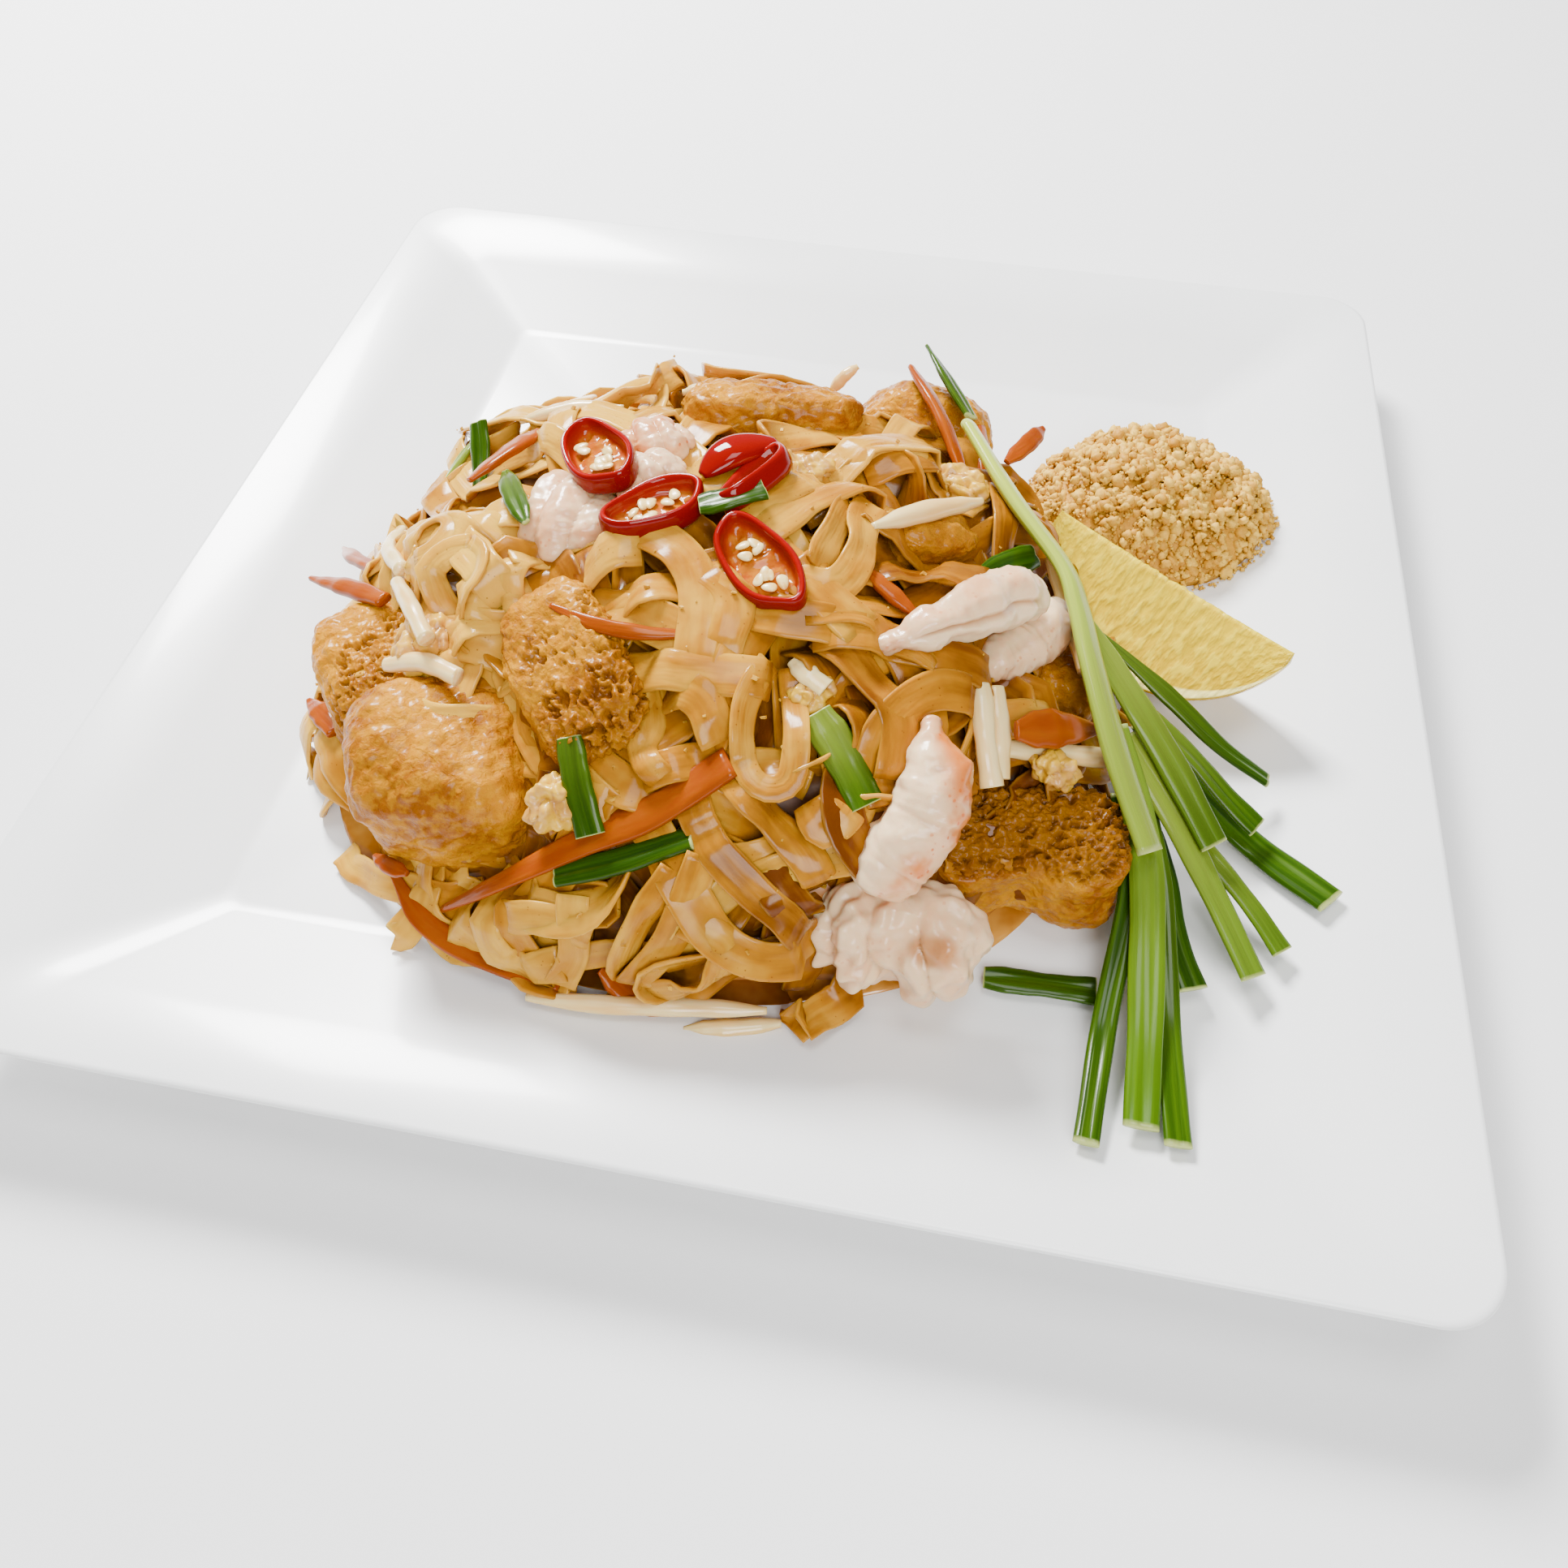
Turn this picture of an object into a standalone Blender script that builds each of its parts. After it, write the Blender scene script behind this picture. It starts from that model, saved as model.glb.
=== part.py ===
"""Pad thai on its square white plate, in metres, +Z up.

The origin is the middle of the plate's underside. +X runs along the plate's front edge to the
right and +Y away from the diner. The noodles are one heaped solid, carved where other food is
pressed into it. Every other piece is a solid of its own, lying on the heap or on the plate.
"""

import math

import bmesh
import bpy
import numpy as np
from mathutils import Matrix, Vector

MM = 0.001
GAP = 0.4 * MM

# Plate: a square well inside a sloping rim, standing on a low square foot.
PLATE_HALF = 150.0
PLATE_CORNER = 13.0
WELL_HALF = 106.0
WELL_CORNER = 5.0
WELL_FLOOR = 7.0
RIM_TOP = 21.0
RIM_WALL = 4.2
LIP = 1.6
FOOT_HALF = 92.0
FOOT_WIDTH = 7.0
FOOT_HEIGHT = 2.2
CORNER_STEPS = 5

# Noodle heap: a rounded dome that fills the front left of the well.
HEAP_CENTRE = (-12.0, -28.0)
HEAP_HALF = (93.0, 85.0)
HEAP_HEIGHT = 60.0
HEAP_SQUARENESS = 2.4
HEAP_SHOULDER = 2.3
HEAP_STEEPNESS = 0.6
HEAP_RELIEF = 2.6
HEAP_SPOKES = 32
HEAP_RINGS = 9

# Peanut heap: a low mound at the back right.
PEANUT_CENTRE = (89.0, 55.0)
PEANUT_HALF = (32.0, 27.5)
PEANUT_HEIGHT = 22.0
PEANUT_RELIEF = 1.3

# Lemon wedge: a sector of a spindle, its thin edge up.
LEMON_HALF_LENGTH = 33.0
LEMON_RADIUS = 25.0
LEMON_HALF_ANGLE = math.radians(31)
LEMON_EDGE = (90.0, 4.0, 34.0)
LEMON_HEADING = math.radians(-35)
LEMON_ROLL = math.radians(20)
LEMON_ROWS = 9
LEMON_ARC = 6

# Finishes: base colour, roughness.
FINISHES = {
    "glazed_white": ((0.86, 0.87, 0.86), 0.12),
    "noodle": ((0.72, 0.47, 0.24), 0.3),
    "fried_tofu": ((0.72, 0.36, 0.06), 0.45),
    "prawn_meat": ((0.85, 0.6, 0.45), 0.35),
    "chilli_red": ((0.62, 0.01, 0.01), 0.2),
    "lemon_flesh": ((0.85, 0.66, 0.08), 0.25),
    "crushed_nut": ((0.72, 0.5, 0.26), 0.7),
    "chive_green": ((0.13, 0.32, 0.02), 0.35),
    "carrot_orange": ((0.8, 0.22, 0.02), 0.35),
    "sprout_white": ((0.82, 0.74, 0.52), 0.35),
    "cooked_egg": ((0.8, 0.6, 0.2), 0.5),
}

# Lumps: place (x, y, z), half sizes, heading, tilt, squareness, lumpiness, cleft in the near side.
TOFU = {
    "tofu_front": ((-57, -81, 34), (18.5, 17.5, 16.5), 12, 8, 3.6, 0.05, 0),
    "tofu_left": ((-82, -58, 33), (12.5, 14, 12), 35, -10, 2.8, 0.1, 0),
    "tofu_centre": ((-31, -68, 56), (19, 11.5, 8), -54, 0, 3.0, 0.08, 0),
    "tofu_back": ((-7, 16, 57), (20, 9.5, 6.5), 16, 0, 4.0, 0.05, 0),
    "tofu_back_right": ((28, 37, 41.5), (16, 12, 10.5), 8, 6, 3.0, 0.08, 0),
    "tofu_right": ((62, -70, 21.5), (23, 14, 12.5), 4, 0, 3.2, 0.07, 0.3),
    "tofu_shaded": ((64, -34, 31), (10, 9, 10), 15, 0, 3.2, 0.07, 0),
    "tofu_top": ((33, -19, 58), (10, 6.5, 5), 25, 0, 3.0, 0.08, 0),
}
PRAWN_LUMPS = {
    "prawn_back": ((-41.5, -31, 61.5), (12.5, 10.5, 6), -30, 0, 2.2, 0.12, 0),
    "prawn_white": ((-26.5, -21.5, 67), (8, 5.5, 5), 30, 0, 2.2, 0.1, 0),
    "prawn_pink": ((-28, -8.5, 66), (8.5, 6, 5), 10, 0, 2.2, 0.1, 0),
    "prawn_butterflied": ((40, -96, 22), (17.5, 11, 13), -6, 0, 2.3, 0.1, 0.42),
}
EGG = {
    "egg_front": ((-28, -91.5, 46), (6.5, 5.5, 5), 20, 0, 2.2, 0.14, 0),
    "egg_left": ((-66, -61, 50), (7.5, 5.5, 4.5), 50, 0, 2.2, 0.12, 0),
    "egg_right": ((66, -60, 37.5), (6.5, 4, 3.5), 20, 0, 2.2, 0.12, 0),
}
FINE_NET_ABOVE = 14.0
CLEFT_WIDTH = 0.28

# Chilli slices: middle (x, y), half length, half width, heading, tilt in degrees, thickness, lift.
CHILLI_RINGS = {
    "chilli_1": ((-36, -21), 12.0, 7.0, -50, 6, 5.0, 5.0),
    "chilli_2": ((-21, -35), 11.2, 6.8, 38, -8, 5.0, 4.5),
    "chilli_4": ((-3, -24.5), 10.5, 5.0, 66, -38, 5.0, 6.0),
    "chilli_5": ((2, -45.5), 12.4, 6.8, -44, 10, 5.0, 5.0),
}
CHILLI_WALL = 2.2
CHILLI_DISH = 2.4
CHILLI_STEPS = 12

# Strands: route, width, thickness. The profile gives the width along the length, from 0 to 1.
STEM = (0.8, 1.0, 1.0, 1.0, 1.0, 1.0)
SPINDLE = (0.35, 0.85, 1.0, 1.0, 0.85, 0.35)
POINTED = (0.25, 0.7, 1.0, 1.0, 1.0, 0.9)
PRAWN = (0.3, 0.42, 0.62, 0.72, 0.9, 0.97, 0.93, 1.0, 0.9, 0.55)

CHIVES = {
    "chive_stalk": ([(38, 19, 58), (50, -2, 56.5), (62, -18, 54), (66, -28, 52.5), (70, -41, 49.5),
                     (77, -57, 42), (86, -73, 33)], 7.5, 3.4, STEM),
    "chive_2": ([(67, -26, 47.5), (79, -39, 41), (90, -50, 33), (101, -63, 24.5)], 6.5, 2.2, STEM),
    "chive_3": ([(71, -22, 41), (90, -31, 32), (103, -36, 24), (115, -38, 17)], 4.6, 1.8, POINTED),
    "chive_4": ([(80, -46, 35), (93, -59, 25.5), (103, -73, 19), (111, -87, 15)], 6.0, 2.0, STEM),
    "chive_5": ([(94, -54, 20.5), (109, -70, 17.5), (117, -80, 15)], 4.8, 1.8, STEM),
    "chive_6": ([(81, -35, 34), (95, -42, 27.5), (105, -48, 21.5), (112, -52, 18)], 5.5, 1.8, STEM),
    "chive_7": ([(85, -32, 24), (100, -43, 16), (113, -53, 12.5), (127, -67, 16.5)], 7.0, 2.0, STEM),
    "chive_8": ([(80, -58, 31), (84.5, -74, 23), (82, -102, 14), (79, -128, 16.5)], 5.0, 1.8, STEM),
    "chive_9": ([(77, -47, 39), (86, -69, 28), (89, -96, 18.5), (89, -123, 16)], 7.0, 2.2, STEM),
    "chive_10": ([(86, -52, 25), (91, -72, 19.5), (94, -99, 14.5), (96, -125, 15.5)], 5.5, 1.8, STEM),
    "chive_11": ([(86, -51, 19.5), (92, -66, 16.5), (96, -80, 13), (100, -90, 11.5)], 6.2, 1.8, STEM),
    "chive_flat": ([(58, -94, 9.5), (70, -93.5, 9.5), (81, -93, 9.5)], 6.0, 2.0, STEM),
    "chive_dark_end": ([(44, -30, 59), (50, -22, 56), (56, -14, 52)], 6.0, 2.0, POINTED),
    "chive_tip": ([(25, 46, 59), (32, 34, 58), (38, 25, 56)], 5.5, 2.0, POINTED),
    "green_front_upright": ([(-27, -83, 56), (-24, -90, 52), (-20, -97.5, 46)], 6.0, 2.2, STEM),
    "green_front_low": ([(-26.5, -103, 38), (-13.5, -99.5, 42.5), (-1, -95, 47)], 5.4, 2.6, STEM),
    "green_centre": ([(18, -71, 59), (24, -77, 55), (30, -84, 50)], 7.5, 2.6, STEM),
    "green_top": ([(-12, -35, 73.5), (-6, -33, 74.5), (0, -29.5, 75)], 6.0, 2.0, STEM),
    "green_left_top": ([(-59, -20, 62), (-54, -29, 65), (-47, -40, 67.5)], 5.0, 2.0, SPINDLE),
    "green_back_1": ([(-84, -9, 41), (-80, -2, 46), (-77, 4, 49)], 4.5, 1.8, SPINDLE),
    "green_back_2": ([(-71, -12, 47), (-72, -5, 51.5), (-74, 2, 56)], 5.5, 1.8, STEM),
}
CARROTS = {
    "carrot_long": ([(-53, -104, 19), (-38, -103, 33), (-21, -96.5, 43), (-9, -91.5, 48.5),
                     (4, -83, 56)], 7.0, 2.6, (0.25, 0.6, 0.7, 0.9, 1.0, 1.0)),
    "carrot_curved": ([(-36, -60, 66), (-26, -63.5, 66.5), (-16, -64, 66.5), (-7, -62, 66)],
                      3.0, 2.0, SPINDLE),
    "carrot_front": ([(-67, -97, 18), (-57, -106, 15.5), (-43, -111, 14), (-26, -114.5, 14)],
                     5.0, 2.4, SPINDLE),
    "carrot_leaf": ([(56, -61, 50), (64, -55, 45), (74, -47, 37)], 8.0, 2.6, (0.5, 0.9, 1, 0.9, 0.6, 0.2)),
    "carrot_back": ([(22, 40, 57), (31, 23, 57), (39, 7, 52.5)], 4.6, 2.4, SPINDLE),
    "carrot_right": ([(48, 23, 46), (52, 31, 45), (56, 41, 43)], 4.6, 2.2, SPINDLE),
    "carrot_left": ([(-106, -35, 36), (-93, -41, 41.5), (-80, -48, 47)], 4.4, 2.4, POINTED),
}
SPROUTS = {
    "sprout_left": ([(-76, -47, 52), (-68, -57, 56), (-61, -66, 58)], 3.8, 3.4, STEM),
    "sprout_right": ([(22, -29, 68), (32, -19, 65), (43, -7, 59)], 4.6, 4.0, SPINDLE),
    "sprout_upright": ([(48, -54, 54), (50, -63, 50), (53, -71, 44)], 4.8, 4.0, STEM),
    "sprout_front": ([(-32, -117.5, 13.5), (-15, -116, 13.5), (1, -113.5, 13.5), (16, -111.5, 13.5)],
                     4.4, 3.4, SPINDLE),
}
PRAWNS = {
    "prawn_front": ([(39, -67, 58), (40, -72, 57), (42, -78, 53), (41, -84, 48), (36, -90, 42),
                     (33, -95, 37)], 17.0, 15.0, (0.3, 0.6, 0.68, 0.9, 0.96, 1.0, 0.94, 0.9, 0.7, 0.45)),
    "prawn_right": ([(27, -56, 62), (35, -51, 64), (44, -43, 62.5), (51, -34, 59), (57, -28, 53)],
                    12.0, 11.0, PRAWN),
    "prawn_shaded": ([(64, -18, 40), (61, -27, 45), (55, -36, 46), (48, -46, 48)], 12.0, 11.0, SPINDLE),
}
CHILLI_SKIN = {
    "chilli_3": ([(-14, -24, 71.5), (-9, -17.5, 73), (-1, -11.5, 72)], 8.5, 3.6, SPINDLE),
}
STRAND_SIDES = 6
STRAND_RINGS = 6


def clear_scene():
    """Empties the scene that Blender starts with."""
    for thing in list(bpy.data.objects):
        bpy.data.objects.remove(thing, do_unlink=True)


def finish_of(name):
    """The named finish as a material, made on first use."""
    found = bpy.data.materials.get(name)
    if found:
        return found
    colour, roughness = FINISHES[name]
    made = bpy.data.materials.new(name)
    made.use_nodes = True
    shader = made.node_tree.nodes["Principled BSDF"]
    shader.inputs["Base Color"].default_value = (*colour, 1.0)
    shader.inputs["Roughness"].default_value = roughness
    shader.inputs["Metallic"].default_value = 0.0
    return made


def add_solid(name, points_mm, faces, finish):
    """One closed solid from points in millimetres, faces turned outwards, shaded smooth."""
    mesh = bpy.data.meshes.new(name)
    mesh.from_pydata((np.asarray(points_mm) * MM).tolist(), [], faces)
    work = bmesh.new()
    work.from_mesh(mesh)
    bmesh.ops.recalc_face_normals(work, faces=work.faces)
    bmesh.ops.triangulate(work, faces=work.faces)
    work.to_mesh(mesh)
    work.free()
    mesh.shade_smooth()
    mesh.set_sharp_from_angle(angle=math.radians(40))
    mesh.materials.append(finish_of(finish))
    solid = bpy.data.objects.new(name, mesh)
    bpy.context.scene.collection.objects.link(solid)
    return solid


def loft(rings):
    """Joins equal rings of points with quads and closes both ends: returns points and faces."""
    count = len(rings[0])
    faces = []
    for row in range(len(rings) - 1):
        for i in range(count):
            j = (i + 1) % count
            a = row * count
            b = a + count
            faces.append((a + i, a + j, b + j, b + i))
    faces.append(tuple(range(count))[::-1])
    last = (len(rings) - 1) * count
    faces.append(tuple(last + i for i in range(count)))
    return np.concatenate(rings), faces


def plate_top(x, y):
    """Height of the plate's upper face: flat in the well, then rising evenly to the rim."""
    reach = np.maximum(np.abs(x), np.abs(y))
    slope = (RIM_TOP - WELL_FLOOR) / (PLATE_HALF - WELL_HALF)
    return WELL_FLOOR + np.clip(reach - WELL_HALF, 0, None) * slope


def heap_height(x, y):
    """Height of the noodle heap: a superellipse outline under a dome that steepens to its foot."""
    across = np.abs((x - HEAP_CENTRE[0]) / HEAP_HALF[0]) ** HEAP_SQUARENESS
    along = np.abs((y - HEAP_CENTRE[1]) / HEAP_HALF[1]) ** HEAP_SQUARENESS
    reach = (across + along) ** (1 / HEAP_SQUARENESS)
    return WELL_FLOOR + HEAP_HEIGHT * np.clip(1 - reach**HEAP_SHOULDER, 0, 1) ** HEAP_STEEPNESS


def heap_normal(x, y):
    """The heap's upward normal, from its heights a millimetre apart."""
    step = 1.0
    dx = (heap_height(x + step, y) - heap_height(x - step, y)) / (2 * step)
    dy = (heap_height(x, y + step) - heap_height(x, y - step)) / (2 * step)
    return Vector((-dx, -dy, 1.0)).normalized()


def square_ring(half, height, corner):
    """A square with rounded corners, from the same angles at every size."""
    turns = np.linspace(0, math.pi / 2, CORNER_STEPS)
    points = []
    for quarter in range(4):
        angle = quarter * math.pi / 2
        spin = np.array([[math.cos(angle), -math.sin(angle)], [math.sin(angle), math.cos(angle)]])
        arc = np.stack([np.cos(turns), np.sin(turns)], 1) * corner + (half - corner)
        points.append(arc @ spin.T)
    flat = np.concatenate(points)
    return np.column_stack([flat, np.full(len(flat), height)])


def make_plate():
    """The plate as one loft, from the middle of the well over the rim to the inside of the foot."""
    under = RIM_TOP - RIM_WALL
    base = WELL_FLOOR - RIM_WALL
    stations = [
        (WELL_HALF - 1.5, WELL_FLOOR, WELL_CORNER),
        (WELL_HALF, WELL_FLOOR, WELL_CORNER + 1),
        (PLATE_HALF - 1.4, RIM_TOP - 0.45, PLATE_CORNER - 1),
        (PLATE_HALF - 0.5, RIM_TOP - 0.35, PLATE_CORNER),
        (PLATE_HALF, RIM_TOP - LIP / 2, PLATE_CORNER),
        (PLATE_HALF - 0.5, RIM_TOP - LIP, PLATE_CORNER),
        (PLATE_HALF - 7, under - 1.2, PLATE_CORNER - 2),
        (WELL_HALF - 4, base - 0.1, WELL_CORNER + 4),
        (FOOT_HALF, FOOT_HEIGHT, WELL_CORNER + 4),
        (FOOT_HALF - 0.8, 0.0, WELL_CORNER + 4),
        (FOOT_HALF - FOOT_WIDTH, 0.0, WELL_CORNER + 4),
        (FOOT_HALF - FOOT_WIDTH - 0.8, FOOT_HEIGHT, WELL_CORNER + 4),
    ]
    points, faces = loft([square_ring(*station) for station in stations])
    return add_solid("plate", points, faces, "glazed_white")


def relief(x, y, size):
    """A gentle unevenness, from three crossed waves."""
    return size * (np.sin(x / 9.0 + 0.7) * np.sin(y / 8.0) + 0.6 * np.sin(x / 5.1 - y / 6.3)
                   + 0.5 * np.sin(x / 3.9 + y / 4.7 + 1.3)) / 1.5


def mound(name, centre, half, squareness, top, bumps, spokes, rings, finish):
    """A heap on the plate: a polar net of heights on top, and the plate's own slope below."""
    angles = np.linspace(0, 2 * math.pi, spokes, endpoint=False)
    edge = (np.abs(np.cos(angles)) ** squareness + np.abs(np.sin(angles)) ** squareness)
    edge = edge ** (-1 / squareness) * (1 + 0.02 * np.sin(5 * angles) + 0.015 * np.sin(9 * angles + 1))
    nets = []
    for reach in np.sin(np.linspace(0, math.pi / 2, rings + 1))[1:]:
        x = centre[0] + half[0] * reach * edge * np.cos(angles)
        y = centre[1] + half[1] * reach * edge * np.sin(angles)
        fade = min(1.0, 4 * (1 - reach) + 0.15)
        z = np.maximum(top(x, y) + bumps * relief(x, y, 1.0) * fade, plate_top(x, y) + 2.0)
        nets.append(np.column_stack([x, y, z]))
    skirt = nets[-1].copy()
    skirt[:, 2] = plate_top(skirt[:, 0], skirt[:, 1]) + GAP / MM
    points, faces = loft(nets + [skirt])
    peak = np.array([[centre[0], centre[1], float(top(*centre)) + bumps * 0.5]])
    under = np.array([[centre[0], centre[1], WELL_FLOOR + GAP / MM]])
    faces = faces[:-2]
    first = len(points)
    last_ring = (len(nets)) * spokes
    for i in range(spokes):
        j = (i + 1) % spokes
        faces.append((first, i, j))
        faces.append((first + 1, last_ring + j, last_ring + i))
    return add_solid(name, np.concatenate([points, peak, under]), faces, finish)


def peanut_height(x, y):
    """Height of the peanut heap: a plain rounded dome on the plate's slope."""
    reach = ((x - PEANUT_CENTRE[0]) / PEANUT_HALF[0]) ** 2 + ((y - PEANUT_CENTRE[1]) / PEANUT_HALF[1]) ** 2
    return plate_top(x, y) + PEANUT_HEIGHT * np.clip(1 - reach, 0, 1) ** 0.7


def lump(name, place, half, heading, tilt, squareness, lumpiness, cleft, finish, seed):
    """A squarish blob: a cube's net pushed out to a superellipsoid, then dented by soft waves.

    A cleft draws in the side that faces the diner, along an upright line through its middle.
    """
    cuts = 3 if max(half) > FINE_NET_ABOVE else 2
    work = bmesh.new()
    bmesh.ops.create_cube(work, size=2.0)
    bmesh.ops.subdivide_edges(work, edges=work.edges, cuts=cuts, use_grid_fill=True)
    net = np.array([v.co for v in work.verts])
    faces = [tuple(v.index for v in face.verts) for face in work.faces]
    work.free()
    net = np.tan(net * math.pi / 4)
    way = net / np.linalg.norm(net, axis=1, keepdims=True)
    reach = (np.abs(way) ** squareness).sum(1) ** (-1 / squareness)
    draw = np.random.default_rng(seed)
    dent = np.zeros(len(way))
    for _ in range(4):
        wave = draw.normal(size=3)
        wave *= 3.2 / np.linalg.norm(wave)
        dent += np.sin(way @ wave + draw.uniform(0, 6.28)) / 2
    facing = np.clip(-way[:, 1], 0, 1) * np.exp(-((way[:, 0] / CLEFT_WIDTH) ** 2))
    reach *= (1 + lumpiness * dent) * (1 - cleft * facing)
    points = way * reach[:, None] * np.array(half)
    turn = Matrix.Rotation(math.radians(heading), 3, "Z") @ Matrix.Rotation(math.radians(tilt), 3, "X")
    lean = Vector((0, 0, 1)).rotation_difference(heap_normal(place[0], place[1])).to_matrix()
    flat_lying = place[2] < 36 or half[2] > 14
    spin = np.array(turn if flat_lying else lean @ turn)
    return add_solid(name, points @ spin.T + np.array(place), faces, finish)


def smooth_route(points, count):
    """Evenly numbered places on a Catmull-Rom curve through the given points."""
    route = np.array(points, float)
    ends = np.concatenate([[2 * route[0] - route[1]], route, [2 * route[-1] - route[-2]]])
    places = []
    for t in np.linspace(0, len(route) - 1, count):
        k = min(int(t), len(route) - 2)
        u = t - k
        p0, p1, p2, p3 = ends[k : k + 4]
        places.append(0.5 * (2 * p1 + (p2 - p0) * u + (2 * p0 - 5 * p1 + 4 * p2 - p3) * u**2
                             + (3 * p1 - p0 - 3 * p2 + p3) * u**3))
    return np.array(places)


def strand(name, route, width, thickness, profile, finish):
    """A flat or round strand: an oval carried along a route, its width following the profile."""
    rings = STRAND_RINGS + (3 if len(route) > 4 else 0)
    path = smooth_route(route, rings)
    ahead = np.gradient(path, axis=0)
    ahead /= np.linalg.norm(ahead, axis=1, keepdims=True)
    middle = path[rings // 2]
    up = np.array(heap_normal(middle[0], middle[1]) if route[0][2] > 40 else (0, 0, 1))
    side = np.cross(ahead, up)
    side /= np.linalg.norm(side, axis=1, keepdims=True)
    lift = np.cross(side, ahead)
    scale = np.interp(np.linspace(0, 1, rings), np.linspace(0, 1, len(profile)), profile)
    turns = np.linspace(0, 2 * math.pi, STRAND_SIDES, endpoint=False)
    ovals = []
    for i in range(rings):
        across = np.outer(np.cos(turns) * width / 2 * scale[i], side[i])
        above = np.outer(np.sin(turns) * thickness / 2 * max(scale[i], 0.5), lift[i])
        ovals.append(path[i] + across + above)
    points, faces = loft(ovals)
    return add_solid(name, points, faces, finish)


def chilli_slice(name, middle, half_length, half_width, heading, tilt, thickness, lift):
    """A slanting slice of chilli: an oval with a rounded wall round a dished middle."""
    turns = np.linspace(0, 2 * math.pi, CHILLI_STEPS, endpoint=False)
    levels = [
        (CHILLI_WALL * 0.6, -thickness / 2),
        (0.0, -thickness / 4),
        (0.0, thickness / 3),
        (CHILLI_WALL * 0.5, thickness / 2),
        (CHILLI_WALL, thickness / 2 - 0.5),
        (CHILLI_WALL + 1.0, thickness / 2 - CHILLI_DISH),
    ]
    rings = []
    for inset, height in levels:
        x = (half_length - inset) * np.cos(turns)
        y = (half_width - inset) * np.sin(turns)
        rings.append(np.column_stack([x, y, np.full(CHILLI_STEPS, height)]))
    points, faces = loft(rings)
    normal = heap_normal(*middle)
    lean = Vector((0, 0, 1)).rotation_difference(normal).to_matrix()
    turn = Matrix.Rotation(math.radians(heading), 3, "Z") @ Matrix.Rotation(math.radians(tilt), 3, "X")
    place = np.array([middle[0], middle[1], float(heap_height(*middle))]) + np.array(normal) * lift
    return add_solid(name, points @ np.array(lean @ turn).T + place, faces, "chilli_red")


def make_lemon():
    """A lemon wedge: rows of points along its edge, each with an arc of rind below the edge."""
    rows = []
    for t in np.linspace(-0.96, 0.96, LEMON_ROWS):
        radius = LEMON_RADIUS * (1 - abs(t) ** 2.4) ** 0.62 + 1.0
        turns = np.linspace(-LEMON_HALF_ANGLE, LEMON_HALF_ANGLE, LEMON_ARC)
        arc = np.column_stack([np.full(LEMON_ARC, t * LEMON_HALF_LENGTH),
                               radius * np.sin(turns), -radius * np.cos(turns)])
        rows.append(np.concatenate([[[t * LEMON_HALF_LENGTH, 0.0, 0.0]], arc]))
    points, faces = loft(rows)
    turn = Matrix.Rotation(LEMON_HEADING, 3, "Z") @ Matrix.Rotation(-LEMON_ROLL, 3, "X")
    return add_solid("lemon_wedge", points @ np.array(turn).T + np.array(LEMON_EDGE), faces, "lemon_flesh")


def swollen_copy(solid):
    """A hidden cutter: the solid's shape grown by the gap kept between touching pieces."""
    mesh = solid.data.copy()
    work = bmesh.new()
    work.from_mesh(mesh)
    work.normal_update()
    for vertex in work.verts:
        vertex.co += vertex.normal * GAP
    work.to_mesh(mesh)
    work.free()
    cutter = bpy.data.objects.new("cutter_" + solid.name, mesh)
    bpy.context.scene.collection.objects.link(cutter)
    cutter.hide_render = True
    cutter.display_type = "WIRE"
    return cutter


def reach_of(solid):
    """The lowest and highest corner of a solid."""
    points = np.array([v.co for v in solid.data.vertices])
    return points.min(0) - GAP, points.max(0) + GAP


def give_way(solids):
    """Each solid is cut back where it meets one earlier in the list."""
    cutters = {}
    for index, solid in enumerate(solids):
        low, high = reach_of(solid)
        for earlier in solids[:index]:
            other_low, other_high = reach_of(earlier)
            if (low > other_high).any() or (high < other_low).any():
                continue
            if earlier not in cutters:
                cutters[earlier] = swollen_copy(earlier)
            cut = solid.modifiers.new("make room", "BOOLEAN")
            cut.operation = "DIFFERENCE"
            cut.solver = "EXACT"
            cut.object = cutters[earlier]


def main():
    """Builds every piece, the firm and small ones first, then lets the soft ones give way."""
    clear_scene()
    make_plate()
    solids = []
    for group, finish in ((CHIVES, "chive_green"), (CARROTS, "carrot_orange"),
                          (SPROUTS, "sprout_white"), (CHILLI_SKIN, "chilli_red")):
        for name, (route, width, thickness, profile) in group.items():
            solids.append(strand(name, route, width, thickness, profile, finish))
    for name, (middle, *sizes) in CHILLI_RINGS.items():
        solids.append(chilli_slice(name, middle, *sizes))
    for name, (route, width, thickness, profile) in PRAWNS.items():
        solids.append(strand(name, route, width, thickness, profile, "prawn_meat"))
    seed = 1
    for group, finish in ((PRAWN_LUMPS, "prawn_meat"), (TOFU, "fried_tofu"), (EGG, "cooked_egg")):
        for name, shape in group.items():
            solids.append(lump(name, *shape, finish, seed))
            seed += 1
    solids.append(make_lemon())
    solids.append(mound("peanut_heap", PEANUT_CENTRE, PEANUT_HALF, 2.0, peanut_height,
                        PEANUT_RELIEF, 24, 6, "crushed_nut"))
    solids.append(mound("noodle_heap", HEAP_CENTRE, HEAP_HALF, HEAP_SQUARENESS, heap_height,
                        HEAP_RELIEF, HEAP_SPOKES, HEAP_RINGS, "noodle"))
    give_way(solids)


main()
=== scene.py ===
"""Pad thai on its square plate: noodles, toppings, garnish, plate, light and camera.

Sizes are in millimetres until a mesh is made, and the frame is the CAD model's: the origin is the
middle of the plate's underside, +X to the right along the front edge, +Y away from the diner.
Every piece is a surface worked out as whole arrays: a lump (a cube's net pushed out to a rounded
box), a strand (an outline carried along a route) or a slice (loops round an oval).
"""

import math

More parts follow.
